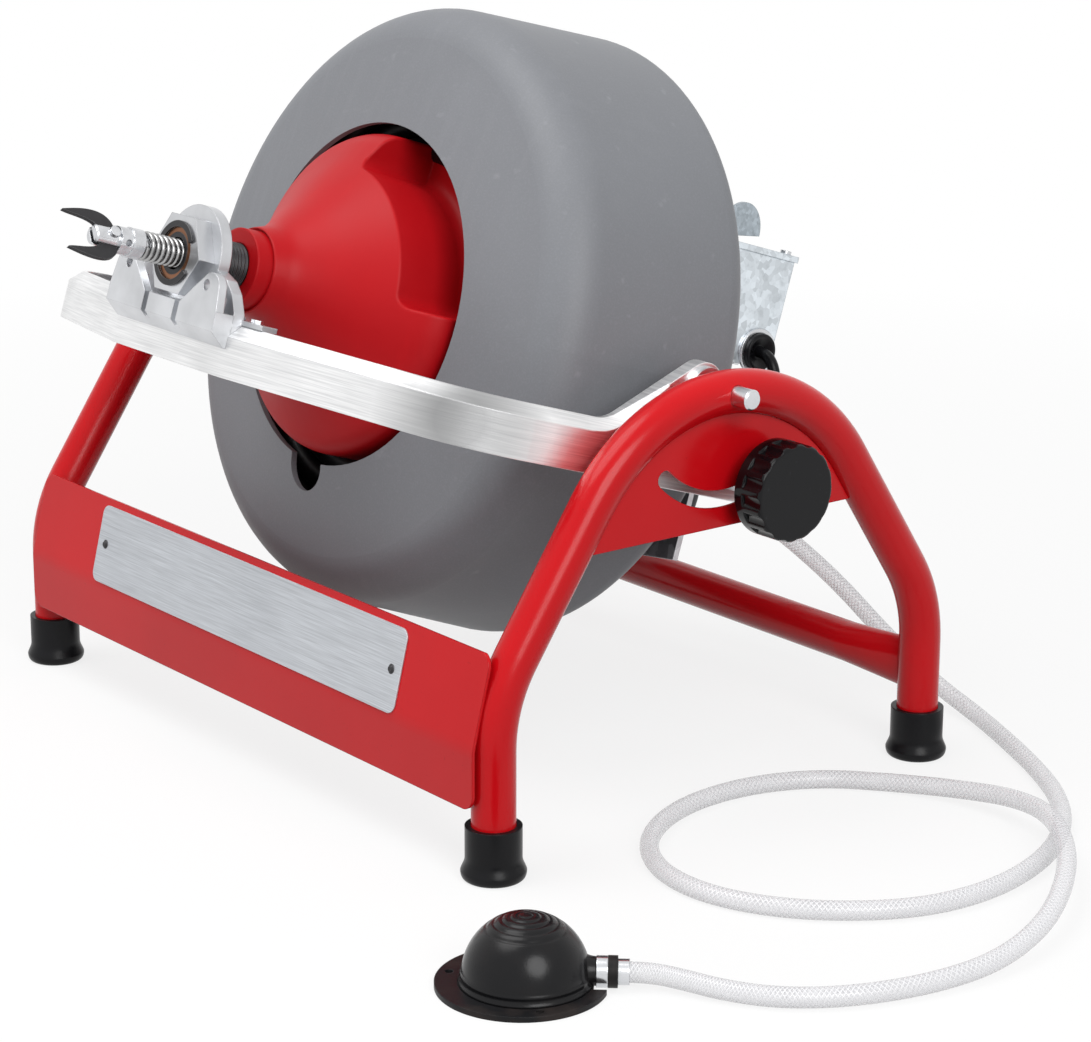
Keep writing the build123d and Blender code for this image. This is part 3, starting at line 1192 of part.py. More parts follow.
def cradle_pieces():
    """All that tilts with the cradle, modelled level."""
    yoke_solid = yoke()
    return {
        "yoke": yoke_solid,
        "pivot_bushes": pair(pivot_bush()),
        "nozzle_plate": nozzle_plate(yoke_solid),
        "nozzle_saddle": nozzle_saddle(yoke_solid),
        "saddle_screws": saddle_screws(),
        "nozzle_hex": nozzle_hex(),
        "nozzle_bush": nozzle_bush(),
        "retaining_ring": retaining_ring(),
        "rear_plate": rear_plate(),
        "cradle_bolts": cradle_bolts(),
        "lock_stud": lock_stud(),
        "stud_spacer": stud_spacer(),
        "lock_knob": lock_knob(),
        "drum_spindle": drum_spindle(),
        "motor_casing": motor_casing(),
        "motor_end_cap": motor_end_cap(),
        "motor_stator": motor_stator(),
        "motor_rotor": motor_rotor(),
        "motor_pulley": Pos(0, 0, -MOTOR_DROP) * pulley(SHAFT_R + RUN_FIT, MOTOR_PITCH_R),
        "v_belt": v_belt(),
        "switch_box": switch_box(),
        "box_lid": box_lid(),
        "lid_screws": lid_screws(),
        "direction_lever": direction_lever(),
        "cord_gland": cord_gland(),
        "hose_barb": hose_barb(),
        "drum_shell": drum_shell(),
        "drum_hub": drum_hub(),
        "front_hub_bearing": hub_bearing(HUB_FRONT_T - BEARING_INSET - BEARING_W),
        "rear_hub_bearing": hub_bearing(PULLEY_T + BEARING_INSET),
        "drum_pulley": pulley(HUB_TAIL_R + RUN_FIT, DRUM_PITCH_R),
        "inner_cone": inner_cone(),
        "cable_coil": cable_coil(),
        "nozzle_tube": nozzle_tube(),
        "drain_cable": drain_cable(),
        "cable_coupling": cable_coupling(),
        "cutter": cutter(),
        "cutter_screw": cutter_screw(),
    }


def loose_pieces():
    """The air pedal with its hose, and the power cord with its coil and plug."""
    hose = cord_path("air_hose", hose_route(), HOSE_R)
    cord = cord_path("power_cord", cord_route(), CORD_R)
    coil = coil_path()
    print("cord_coil length", round(coil.length), "least gap", round(least_gap(coil, CORD_R), 2))
    pieces = {
        "pedal_base": pedal_base(),
        "pedal_dome": pedal_dome(),
        "hose_clamps": hose_clamps(),
        "air_hose": tube_along(hose, HOSE_R),
        "power_cord": tube_along(cord, CORD_R),
        "cord_coil": COIL_PLACE * tube_along(coil, CORD_R),
        "coil_tie": COIL_PLACE * coil_tie(),
        "plug": COIL_PLACE * plug(coil @ 1),
    }
    tubes = (("air_hose", hose, HOSE_R), ("power_cord", cord, CORD_R), ("cord_coil", coil, CORD_R))
    for name, path, radius in tubes:
        share = pieces[name].volume / (path.length * pi * radius * radius)
        print(name, "volume over section times length", round(share, 4))
    return pieces


def write(name, solids):
    """One STEP file for a piece, or for a group of like pieces."""
    solids = solids if isinstance(solids, list) else [solids]
    whole = Compound([solid for piece in solids for solid in piece.solids()])
    export_step(whole, os.path.join("parts", name + ".step"))


def main():
    os.makedirs("parts", exist_ok=True)
    for name, solids in (stand_pieces() | loose_pieces()).items():
        write(name, solids)
    for name, solids in cradle_pieces().items():
        write(name, [CRADLE * solid for solid in (solids if isinstance(solids, list) else [solids])])


main()
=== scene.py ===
"""Dresses a drum drain cleaning machine and sets it on a studio floor."""
import json
from math import atan2, cos, pi, radians, sin

import bmesh
import bpy
from bpy.props import FloatProperty, FloatVectorProperty, IntProperty, PointerProperty
from mathutils import Matrix, Vector


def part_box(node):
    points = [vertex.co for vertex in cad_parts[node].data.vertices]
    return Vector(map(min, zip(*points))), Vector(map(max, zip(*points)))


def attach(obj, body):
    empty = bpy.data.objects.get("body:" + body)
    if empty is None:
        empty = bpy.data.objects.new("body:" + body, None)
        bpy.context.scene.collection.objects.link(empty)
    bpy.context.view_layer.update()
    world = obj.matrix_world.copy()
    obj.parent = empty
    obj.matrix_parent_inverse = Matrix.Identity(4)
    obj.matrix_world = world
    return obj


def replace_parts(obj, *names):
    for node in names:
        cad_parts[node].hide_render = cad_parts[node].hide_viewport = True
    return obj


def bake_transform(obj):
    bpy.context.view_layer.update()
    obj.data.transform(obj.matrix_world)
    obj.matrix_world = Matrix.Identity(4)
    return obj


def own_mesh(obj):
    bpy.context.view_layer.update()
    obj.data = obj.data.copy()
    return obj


bl_info = {
    "name": "Drum drain cleaner",
    "version": (1, 0, 0),
    "blender": (4, 5, 0),
    "location": "View3D > Sidebar > Drain cleaner",
    "description": "Finishes, cords and studio for a drum drain cleaning machine",
    "category": "Object",
}

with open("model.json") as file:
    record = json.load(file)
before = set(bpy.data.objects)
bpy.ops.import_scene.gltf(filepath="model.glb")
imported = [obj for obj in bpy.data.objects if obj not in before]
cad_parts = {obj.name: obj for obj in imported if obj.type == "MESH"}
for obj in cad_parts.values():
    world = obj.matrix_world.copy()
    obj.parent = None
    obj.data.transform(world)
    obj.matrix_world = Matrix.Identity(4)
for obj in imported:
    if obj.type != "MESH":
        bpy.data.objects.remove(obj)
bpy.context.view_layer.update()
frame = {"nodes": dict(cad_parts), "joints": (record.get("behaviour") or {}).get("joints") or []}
JOINTS = {joint["name"]: joint for joint in frame["joints"]}
PIVOT = Vector(JOINTS["cradle_tilt"]["pos_m"])
FORWARD = Vector(JOINTS["drum_spin"]["axis"])
ACROSS = Vector((1, 0, 0))
UPWARD = ACROSS.cross(-FORWARD)
TILT = atan2(FORWARD.z, -FORWARD.y)

# Where a painted shade darkens the yoke's brushed face at its bend: across, forward of the pivot, and above
# it
YOKE_BEND_SHADE = (0.214, 0.158, -0.047)

# Lock nut behind the cord's gland, and the length of the plug's blades
NUT_GAP = 0.0001
NUT_RIM = 0.0029
NUT_THICKNESS = 0.0023
NUT_EDGE = (0.0005, 0.0007)
PLUG_BLADES = 0.0205

# Pedal dome: steps down its side, how square it is, its grooves, and the flare at its foot
DOME_STEPS = 150
DOME_SQUARENESS = 0.92
GROOVE_SHARPNESS = 3.2
DOME_SHOULDER = 0.006
DOME_FLARE = ((0.0, 0.0056), (0.0004, 0.0046), (-0.0001, 0.0038), (0.0002, 0.0024))
FOOT_BEND = 0.0010
INSIDE_STEPS = 12
NECK_STEPS = 10
NECK_SWEEP = 2.2

# Soft boxes: name, place, what they look at, diameter, and whether metal mirrors them
LAMPS = (
    ("key", (-0.3, -0.9, 2.3), (0.0, 0.0, 0.2), 1.7, True),
    ("fill", (-0.8, -2.2, 0.5), (0.0, 0.0, 0.2), 1.6, False),
    ("side", (2.3, -0.7, 1.5), (0.1, 0.0, 0.2), 1.6, True))
SENSOR_WIDTH = 36.0


def in_cradle(x, t, h):
    """A place in the tilted cradle: across, forward of the pivot along the drum axis, and above it."""
    return PIVOT + ACROSS * x + FORWARD * t + UPWARD * h


def length(name, description, default):
    return FloatProperty(
        name=name, description=description, default=default, subtype="DISTANCE", unit="LENGTH")


def share(name, description, default):
    return FloatProperty(
        name=name, description=description, default=default, min=0, max=1, subtype="FACTOR")


def count(name, description, default, least):
    return IntProperty(name=name, description=description, default=default, min=least)


def angle(name, description, degrees):
    return FloatProperty(
        name=name, description=description, default=radians(degrees), subtype="ANGLE", unit="ROTATION")


def power(name, description, default):
    return FloatProperty(name=name, description=description, default=default, min=0, unit="POWER")


def colour(name, description, default):
    return FloatVectorProperty(
        name=name, description=description, default=default, size=3, min=0, max=1, subtype="COLOR")


class FinishColours(bpy.types.PropertyGroup):
    """Colours of the machine's paints, plastics, rubbers and metals."""
    enamel: colour("Enamel", "Red paint on the stand", (0.60, 0.004, 0.008))
    drum: colour("Drum", "Grey moulded drum", (0.205, 0.212, 0.229))
    cone: colour("Cone", "Red moulded cone inside the drum", (0.48, 0.004, 0.008))
    rubber: colour("Rubber", "Feet, cord and belt", (0.005, 0.005, 0.006))
    pedal: colour("Pedal", "Moulded rubber of the air pedal", (0.007, 0.007, 0.008))
    dust: colour("Dust", "Dust that the pedal has picked up", (0.060, 0.044, 0.038))
    knob: colour("Knob", "Black plastic of the locking knob", (0.004, 0.004, 0.005))
    zinc: colour("Zinc", "Bright plated steel", (0.66, 0.67, 0.69))
    galvanised: colour("Galvanised", "Sheet of the switch box", (0.68, 0.73, 0.77))
    lever: colour("Lever", "Plated direction lever", (0.40, 0.45, 0.49))
    aluminium: colour("Aluminium", "Brushed yoke", (0.88, 0.885, 0.895))
    plate: colour("Plate", "Bare name plate", (0.56, 0.58, 0.61))
    dark_steel: colour("Dark steel", "Blackened nozzle tube and cutter", (0.028, 0.027, 0.029))
    cable: colour("Cable", "Oiled spring steel", (0.40, 0.40, 0.40))
    bronze: colour("Bronze", "Nozzle bush", (0.26, 0.12, 0.065))
    motor: colour("Motor", "Dark paint on the motor", (0.045, 0.046, 0.050))
    hose: colour("Hose", "Clear plastic of the air hose", (0.68, 0.68, 0.72))
    braid: colour("Braid", "Threads in the hose's wall", (0.90, 0.90, 0.92))


class HoseSizes(bpy.types.PropertyGroup):
    """The clear air hose."""
    diameter: length("Diameter", "Outside diameter of the hose", 0.011)
    run: length("Length", "Length from the pedal to the switch box", 1.57)
    floor: length("Floor line", "Height of the hose's middle line on the floor", 0.0056)
    hump: length("Hump", "Height of the middle line where the hose crosses itself", 0.0206)
    threads: count("Threads", "Braid threads each way round the hose", 9, 3)
    thread_lead: length("Thread lead", "Length of hose in which a thread goes once round", 0.026)


class CordSizes(bpy.types.PropertyGroup):
    """The power cord and its put-away coil."""
    diameter: length("Diameter", "Outside diameter of the cord", 0.0076)
    run: length("Length", "Length from the gland to the plug", 3.44)
    floor: length("Floor line", "Height of the cord's middle line in the coil's lower layer", 0.0054)
    coil_radius: length("Coil radius", "Radius of the coil's outer turn", 0.062)
    coil_pitch: length("Coil pitch", "Step from one turn to the next", 0.0082)
    coil_layer: length("Coil layer", "Height of the upper layer above the lower one", 0.0081)
    half_turns: count("Half turns", "Half turns in each layer of the coil", 11, 3)


class CableSizes(bpy.types.PropertyGroup):
    """The drain cable: its visible spring, and what is stored in the drum."""
    spring_radius: length("Spring radius", "Radius of the spring's middle line", 0.0073)
    wire: length("Wire", "Diameter of the spring's wire", 0.0029)
    pitch: length("Pitch", "Step from one turn of the spring to the next", 0.0035)
    turns: count("Turns", "Turns of the visible spring", 11, 2)
    end: length("End", "Where the spring ends, forward of the pivot", 0.244)
    stored: length("Stored diameter", "Outside diameter of the stored cable", 0.016)
    stored_turns: count("Stored turns", "Turns that show inside the drum", 5, 1)
    stored_radius: length("Stored radius", "Radius of the outermost stored turn's middle line", 0.168)
    stored_step: length("Stored step", "Step from one stored turn to the next", 0.0168)
    stored_place: length("Stored place", "Where the stored turns lie, forward of the pivot", 0.056)


class PedalSizes(bpy.types.PropertyGroup):
    """The air pedal's rubber dome and the neck that its hose is clamped to."""
    wall: length("Wall", "Thickness of the dome", 0.003)
    foot: length("Foot", "How far the dome flares out over the flange", 0.0016)
    ring_step: length("Ring step", "Distance from one ring on the crown to the next", 0.0041)
    ring_depth: length("Ring depth", "Depth of the grooves between the rings", 0.0005)
    rings: count("Rings", "Rings on the crown", 5, 1)
    neck: length("Neck", "Radius of the neck where it leaves the dome", 0.0125)
    neck_end: length("Neck end", "Radius of the neck at its clamp", 0.0078)
    neck_start: length("Neck start", "How far before the hose's end the neck starts", 0.0212)
    neck_stop: length("Neck stop", "How far before the hose's end the neck stops", 0.0108)
    pressed: share("Pressed", "Share of its height that the dome keeps when pressed", 0.41)


class StageSettings(bpy.types.PropertyGroup):
    """Camera, lamps and floor."""
    lens: FloatProperty(name="Lens", description="Focal length in millimetres", default=103.34, min=10)
    camera: FloatVectorProperty(
        name="Camera", description="Where the camera stands", default=(1.53829, -1.14586, 0.66836),
        unit="LENGTH")
    azimuth: angle("Azimuth", "Camera's side, from the front", 51.822)
    elevation: angle("Elevation", "How far the camera looks down", 15.873)
    roll: angle("Roll", "Camera's turn about its view", 0.206)
    floor: colour("Floor", "Colour of the studio floor", (0.92, 0.92, 0.92))
    bounce: colour("Bounce", "Colour that the floor throws back on the machine", (0.32, 0.32, 0.32))
    glow: share("Glow", "How far the floor by the machine fades to the white of the room", 0.8)
    floor_size: length("Floor size", "Side of the studio floor", 24.0)
    key: power("Key", "Power of the overhead soft box", 28.0)
    fill: power("Fill", "Power of the front soft box", 10.0)
    side: power("Side", "Power of the side soft box", 36.0)
    sky: share("Sky", "Strength of the room's own light", 0.40)


class Value:
    """A shader socket in a Python expression: each operator adds its Math node."""

    def __init__(self, finish, socket):
        self.finish = finish
        self.socket = socket

    def __add__(self, other):
        return self.finish.math("ADD", self, other)

    def __sub__(self, other):
        return self.finish.math("SUBTRACT", self, other)

    def __rsub__(self, other):
        return self.finish.math("SUBTRACT", other, self)

    def __mul__(self, other):
        return self.finish.math("MULTIPLY", self, other)

    __radd__ = __add__
    __rmul__ = __mul__

    def beside(self, output):
        """Another output of the same node."""
        return Value(self.finish, self.socket.node.outputs[output])


class Finish:
    """A node material, or the room's node tree, while it is being made."""

    def __init__(self, name, room=None):
        self.material = room or bpy.data.materials.new(name)
        self.material.use_nodes = True
        self.tree = self.material.node_tree
        self.tree.nodes.clear()
        self.place = None if room else self.node("TexCoord", output="Object")

    def node(self, kind, settings=None, inputs=None, output=0):
        """Adds a node, sets it, feeds its sockets and gives back one of its outputs."""
        made = self.tree.nodes.new("ShaderNode" + kind)
        for key, value in (settings or {}).items():
            if key == "stops":
                for element, (position, shade) in zip(made.color_ramp.elements, value):
                    element.position = position
                    element.color = (shade, shade, shade, 1)
            else:
                setattr(made, key, value)
        for key, value in (inputs or {}).items():
            if isinstance(value, Value):
                self.tree.links.new(value.socket, made.inputs[key])
            else:
                made.inputs[key].default_value = value
        return Value(self, made.outputs[output]) if len(made.outputs) else None

    def math(self, operation, *values):
        return self.node("Math", {"operation": operation}, dict(enumerate(values)))

    def mix(self, factor, first, second):
        """Two colours mixed; a plain colour is three numbers."""
        ends = [end if isinstance(end, Value) else (*end, 1) for end in (first, second)]
        return self.node("Mix", {"data_type": "RGBA"}, {0: factor, 6: ends[0], 7: ends[1]}, 2)

    def stretched(self, scale, turn=(0, 0, 0)):
        """Object coordinates turned and then scaled along each axis, for grain that runs one way."""
        turned = self.node("Mapping", None, {"Vector": self.place, "Rotation": turn})
        return self.node("Mapping", None, {"Vector": turned, "Scale": scale})

    def noise(self, scale, detail=3.0, place=None):
        inputs = {"Vector": place or self.place, "Scale": scale, "Detail": detail}
        return self.node("TexNoise", None, inputs)

    def ramp(self, value, low, high, first=0.0, last=1.0):
        """A value spread between two stops."""
        return self.node("ValToRGB", {"stops": ((low, first), (high, last))}, {0: value})

    def edges(self, radius, samples=6):
        """The normal softened over edges, and a mask that is one on them and zero on flat faces; the
        finishes paint highlights and shade into their colour with this mask.
        """
        soft = self.node("Bevel", {"samples": samples}, {"Radius": radius})
        flat = self.node("NewGeometry", output="Normal")
        facing = self.node("VectorMath", {"operation": "DOT_PRODUCT"}, {0: soft, 1: flat}, "Value")
        return soft, self.ramp(1 - facing, 0.02, 0.22)

    def bump(self, height, strength, distance, normal=None):
        inputs = {"Height": height, "Strength": strength, "Distance": distance}
        if normal:
            inputs["Normal"] = normal
        return self.node("Bump", None, inputs)

    def close(self, **sockets):
        """Feeds the surface shader and gives back the material."""
        inputs = {}
        for key, value in sockets.items():
            is_plain_colour = isinstance(value, (tuple, list)) and len(value) == 3
            inputs[key.replace("_", " ")] = (*value, 1) if is_plain_colour else value
        surface = self.node("BsdfPrincipled", None, inputs, "BSDF")
        self.node("OutputMaterial", None, {"Surface": surface})
        return self.material


def tint(base, amount):
    return tuple(min(1.0, channel * amount) for channel in base)


def enamel_finish(colours):
    """Glossy red paint with a faint orange peel, a painted shade darkening its edges, and a few specks."""
    paint = Finish("red_enamel")
    soft, painted_edge_mask = paint.edges(0.0009)
    cloud = paint.ramp(paint.noise(9.0), 0.35, 0.65)
    shade = paint.mix(cloud, tint(colours.enamel, 0.95), tint(colours.enamel, 1.05))
    # Painted shade: the edges are darkened.
    shade = paint.mix(painted_edge_mask * 0.45, shade, tint(colours.enamel, 0.55))
    speck = paint.ramp(paint.noise(620.0, 1.0), 0.72, 0.79)
    shade = paint.mix(speck * 0.3, shade, tint(colours.enamel, 0.5))
    peel = paint.bump(paint.noise(420.0, 2.0), 0.05, 0.0004, soft)
    gloss = 0.16 + 0.1 * paint.noise(55.0)
    return paint.close(Base_Color=shade, Roughness=gloss, Specular_IOR_Level=0.22, Normal=peel)


def drum_finish(colours):
    """Grey rotational moulding: a cloudy colour, a fine skin, pale scuffs and streaks that run down it."""
    skin = Finish("drum_grey")
    cloud = skin.ramp(skin.noise(7.0, 4.0), 0.3, 0.7)
    fleck = skin.ramp(skin.noise(900.0, 1.0), 0.45, 0.75)
    shade = skin.mix(cloud, tint(colours.drum, 0.92), tint(colours.drum, 1.07))
    shade = skin.mix(fleck * 0.14, shade, tint(colours.drum, 1.6))
    drift = skin.noise(3.0, 2.0, skin.stretched((4, 30, 30), (0.5, 0.3, 0.2)))
    scuff = skin.ramp(drift, 0.64, 0.74) * skin.ramp(skin.noise(160.0, 2.0), 0.5, 0.7)
    shade = skin.mix(scuff * 0.3, shade, tint(colours.drum, 1.8))
    streak = skin.noise(1.0, 2.0, skin.stretched((150, 60, 4), (TILT, 0, 0)))
    wash = skin.ramp(streak, 0.52, 0.78) * skin.ramp(skin.noise(5.0, 2.0), 0.42, 0.7)
    shade = skin.mix(wash * 0.22, shade, tint(colours.drum, 1.45))
    wave = skin.bump(skin.noise(26.0, 1.0), 0.05, 0.004)
    return skin.close(
        Base_Color=shade, Roughness=0.42 + 0.14 * cloud, Specular_IOR_Level=0.36,
        Normal=skin.bump(skin.noise(700.0, 2.0), 0.1, 0.0004, wave))


def cone_finish(colours):
    """Satin red moulding with rounded pocket edges, slight sink marks, a fine skin, and a painted highlight
    lightening its edges.
    """
    skin = Finish("cone_red")
    soft, painted_edge_mask = skin.edges(0.0020, 8)
    cloud = skin.ramp(skin.noise(11.0), 0.3, 0.7)
    shade = skin.mix(cloud, tint(colours.cone, 0.9), tint(colours.cone, 1.06))
    rub = skin.ramp(skin.noise(3.0, 3.0, skin.stretched((30, 6, 6))), 0.6, 0.75)
    shade = skin.mix(rub * 0.16, shade, tint(colours.cone, 1.35))
    # Painted highlight: the edges are lightened.
    shade = skin.mix(painted_edge_mask * 0.12, shade, tint(colours.cone, 1.25))
    sink = skin.bump(skin.noise(20.0, 1.0), 0.05, 0.003, soft)
    return skin.close(
        Base_Color=shade, Roughness=0.4 + 0.12 * cloud, Specular_IOR_Level=0.22,
        Normal=skin.bump(skin.noise(800.0, 2.0), 0.07, 0.0003, sink))


def rubber_finish(name, base, roughness, dust=None, dusty=0.3, gloss=0.18):
    """Black moulded rubber with a fine skin, a painted highlight lightening its edges, and some dust."""
    skin = Finish(name)
    soft, painted_edge_mask = skin.edges(0.0010)
    patch = skin.ramp(skin.noise(34.0, 4.0), 0.46, 0.8)
    shade = skin.mix(patch * dusty, base, dust or tint(base, 3.0))
    # Painted highlight: the edges are lightened.
    shade = skin.mix(painted_edge_mask * 0.3, shade, tint(base, 3.0))
    wave = skin.bump(skin.noise(90.0, 2.0), 0.05, 0.0006, soft)
    return skin.close(
        Base_Color=shade, Roughness=roughness + 0.16 * patch, Specular_IOR_Level=gloss,
        Normal=skin.bump(skin.noise(1100.0, 2.0), 0.16, 0.0003, wave))


def knob_finish(name, base):
    """Black phenolic plastic, glossy, with a few handling smears and a painted highlight lightening its
    edges.
    """
    skin = Finish(name)
    soft, painted_edge_mask = skin.edges(0.0014)
    smear = skin.noise(60.0, 3.0)
    # Painted highlight: the edges are lightened.
    shade = skin.mix(painted_edge_mask * 0.25, base, tint(base, 4.0))
    speck = skin.ramp(skin.noise(420.0, 1.0), 0.7, 0.78)
    shade = skin.mix(speck * 0.3, shade, tint(base, 8.0))
    return skin.close(
        Base_Color=shade, Roughness=0.07 + 0.12 * smear, Specular_IOR_Level=0.22,
        Normal=skin.bump(smear, 0.04, 0.0006, soft))


def plated_finish(name, base, roughness, smear_scale=38.0):
    """Bright plated steel: soft smears in the plating, and painted dark reflections along the edges."""
    metal = Finish(name)
    soft, painted_edge_mask = metal.edges(0.0007)
    smear = metal.noise(smear_scale, 4.0)
    shade = metal.mix(metal.ramp(smear, 0.3, 0.7), tint(base, 0.84), tint(base, 1.08))
    # Painted reflection: the edges are darkened.
    shade = metal.mix(painted_edge_mask * 0.55, shade, tint(base, 0.4))
    return metal.close(
        Base_Color=shade, Metallic=1.0, Roughness=roughness + 0.14 * smear,
        Normal=metal.bump(smear, 0.03, 0.0005, soft))


def galvanised_finish(name, base, cell):
    """Galvanised sheet: flat crystals that differ a little in brightness, small dark stains, and painted
    dark reflections along the edges.
    """
    sheet = Finish(name)
    soft, painted_edge_mask = sheet.edges(0.0008)
    crystal = sheet.node("TexVoronoi", None, {"Vector": sheet.place, "Scale": cell}, "Color")
    spangle = sheet.ramp(crystal, 0.15, 0.85)
    stain = sheet.ramp(sheet.noise(190.0, 4.0), 0.54, 0.72)
    shade = sheet.mix(spangle, tint(base, 0.8), tint(base, 1.12))
    shade = sheet.mix(stain * 0.4, shade, tint(base, 0.55))
    # Painted reflection: the edges are darkened.
    shade = sheet.mix(painted_edge_mask * 0.5, shade, tint(base, 0.4))
    dull = 0.3 + 0.16 * spangle + 0.1 * stain
    return sheet.close(
        Base_Color=shade, Metallic=1.0, Roughness=dull, Normal=sheet.bump(stain, 0.05, 0.0004, soft))


def brushed_finish(name, base, grain_scale, roughness, turn=(0, 0, 0), patch_and_shade_depth=0.5, shade_at=None):
    """Brushed metal, with the grain along the axes that have the small scales, duller patches, a painted
    highlight lightening the edges, and a painted shade darkening the face round the given point.
    """
    metal = Finish(name)
    soft, painted_edge_mask = metal.edges(0.0010)
    streak = metal.noise(1.0, 3.0, metal.stretched(grain_scale, turn))
    patch = metal.ramp(metal.noise(13.0, 3.0), 0.42, 0.68)
    if shade_at:
        near = metal.node("VectorMath", {"operation": "DISTANCE"}, {0: metal.place, 1: shade_at}, "Value")
        # Painted shade: a darkening that grows towards the given point.
        patch = metal.math("MAXIMUM", patch * 0.2, metal.ramp(near * 10, 0.15, 0.6, 1.0, 0.0))
    shade = metal.mix(metal.ramp(streak, 0.25, 0.75), tint(base, 0.8), tint(base, 1.14))
    # Random duller patches and, where a point is given, the painted shade darken the colour.
    shade = metal.mix(patch * patch_and_shade_depth, shade, tint(base, 0.3))
    # Painted highlight: the edges are lightened.
    shade = metal.mix(painted_edge_mask * 0.5, shade, tint(base, 1.3))
    dull = roughness + 0.14 * streak + 0.1 * patch
    return metal.close(
        Base_Color=shade, Metallic=1.0, Roughness=dull, Normal=metal.bump(streak, 0.14, 0.0004, soft))


def dark_steel_finish(name, base, edge_highlight):
    """Blackened steel with a painted highlight lightening its edges."""
    metal = Finish(name)
    soft, painted_edge_mask = metal.edges(0.0006)
    smear = metal.noise(150.0, 4.0)
    # Painted highlight: the edges are lightened, with a little random smear.
    shade = metal.mix(painted_edge_mask * edge_highlight + 0.06 * smear, base, (0.40, 0.40, 0.41))
    return metal.close(
        Base_Color=shade, Metallic=0.7, Roughness=0.32 + 0.2 * smear,
        Normal=metal.bump(smear, 0.08, 0.0004, soft))


def motor_finish(colours):
    """Dark hammered paint on the motor, with a painted highlight lightening its edges."""
    paint = Finish("motor_paint")
    soft, painted_edge_mask = paint.edges(0.0008)
    dimple = paint.node("TexVoronoi", None, {"Vector": paint.place, "Scale": 260.0}, "Distance")
    # Painted highlight: the edges are lightened.
    shade = paint.mix(painted_edge_mask * 0.4, colours.motor, tint(colours.motor, 2.4))
    return paint.close(
        Base_Color=shade, Metallic=0.3, Roughness=0.36 + 0.1 * dimple,
        Normal=paint.bump(dimple, 0.12, 0.0005, soft))


def plug_finish(colours, blades):
    """Black rubber, with bright blades beyond the plug's face and a painted highlight lightening its edges.
    """
    skin = Finish("plug_rubber")
    across = skin.node("SeparateXYZ", None, {0: skin.place}, "X")
    blade = skin.math("LESS_THAN", across, blades)
    soft, painted_edge_mask = skin.edges(0.0008)
    smear = skin.noise(90.0, 3.0)
    # Painted highlight: the edges are lightened, together with random smears.
    shade = skin.mix(painted_edge_mask * 0.3 + 0.1 * smear, colours.rubber, tint(colours.rubber, 3.0))
    shade = skin.mix(blade, shade, colours.zinc)
    dull = 0.4 - 0.18 * blade + 0.1 * smear
    return skin.close(
        Base_Color=shade, Metallic=blade, Roughness=dull, Specular_IOR_Level=0.34,
        Normal=skin.bump(smear, 0.06, 0.0004, soft))


def hose_finish(colours, hose):
    """Clear plastic with crossed braid threads, laid out on the hose's own map."""
    wall = Finish("braided_hose")
    place = wall.node("SeparateXYZ", None, {0: wall.node("UVMap")}, "X")
    along = place * (hose.run / hose.thread_lead * hose.threads)
    around = place.beside("Y") * hose.threads
    lines = []
    for lean in (along + around, along - around):
        lines.append(wall.ramp(wall.math("PINGPONG", lean, 0.5), 0.07, 0.17, 1.0, 0.0))
    threads = wall.math("MAXIMUM", *lines)
    cloud = wall.noise(60.0, 2.0)
    shade = wall.mix(threads, colours.hose, colours.braid)
    clear = 0.26 + 0.5 * threads
    return wall.close(
        Base_Color=shade, Roughness=0.14 + 0.12 * cloud, Alpha=clear, Specular_IOR_Level=0.6,
        Normal=wall.bump(threads, 0.2, 0.0003))


def dress(finish, *nodes):
    """Gives CAD nodes a finish."""
    for name in nodes:
        mesh = frame["nodes"][name].data
        mesh.materials.clear()
        mesh.materials.append(finish)


def add_piece(name, mesh, finish, smooth=True):
    """Puts a mesh in the scene as a named piece with its finish."""
    mesh.name = name
    mesh.materials.clear()
    mesh.materials.append(finish)
    mesh.polygons.foreach_set("use_smooth", [smooth] * len(mesh.polygons))
    piece = bpy.data.objects.new(name, mesh)
    bpy.context.scene.collection.objects.link(piece)
    return piece


def mesh_from(bm, name):
    """A mesh from a bmesh, with its faces turned outwards."""
    bmesh.ops.remove_doubles(bm, verts=bm.verts, dist=1e-6)
    bmesh.ops.recalc_face_normals(bm, faces=bm.faces)
    mesh = bpy.data.meshes.new(name)
    bm.to_mesh(mesh)
    bm.free()
    return mesh


def route_curve(points, diameter=0.0, resolution=10, sides=8):
    """A smooth curve with the route's points as its control points, round if it has a diameter."""
    curve = bpy.data.curves.new("route", "CURVE")
    curve.dimensions = "3D"
    curve.resolution_u = resolution
    curve.bevel_depth = diameter / 2
    curve.bevel_resolution = sides
    curve.use_fill_caps = True
    spline = curve.splines.new("NURBS")
    spline.points.add(len(points) - 1)
    for control, point in zip(spline.points, points):
        control.co = (*point, 1)
    spline.order_u = 3
    spline.use_endpoint_u = True
    return bpy.data.objects.new("route", curve)


def tube_mesh(points, diameter, resolution=10, sides=8):
    return bpy.data.meshes.new_from_object(route_curve(points, diameter, resolution, sides))


def middle_line(points, resolution=10):
    mesh = bpy.data.meshes.new_from_object(route_curve(points, 0.0, resolution))
    return [vertex.co.copy() for vertex in mesh.vertices]


def spun(profile, segments=96):
    """A bmesh turned about Z from a profile of radius and height."""
    bm = bmesh.new()
    verts = [bm.verts.new((radius, 0, height)) for radius, height in profile]
    edges = [bm.edges.new(ends) for ends in zip(verts, verts[1:])]
    bmesh.ops.spin(
        bm, geom=verts + edges, cent=(0, 0, 0), axis=(0, 0, 1), angle=2 * pi, steps=segments,
        use_merge=True)
    return bm


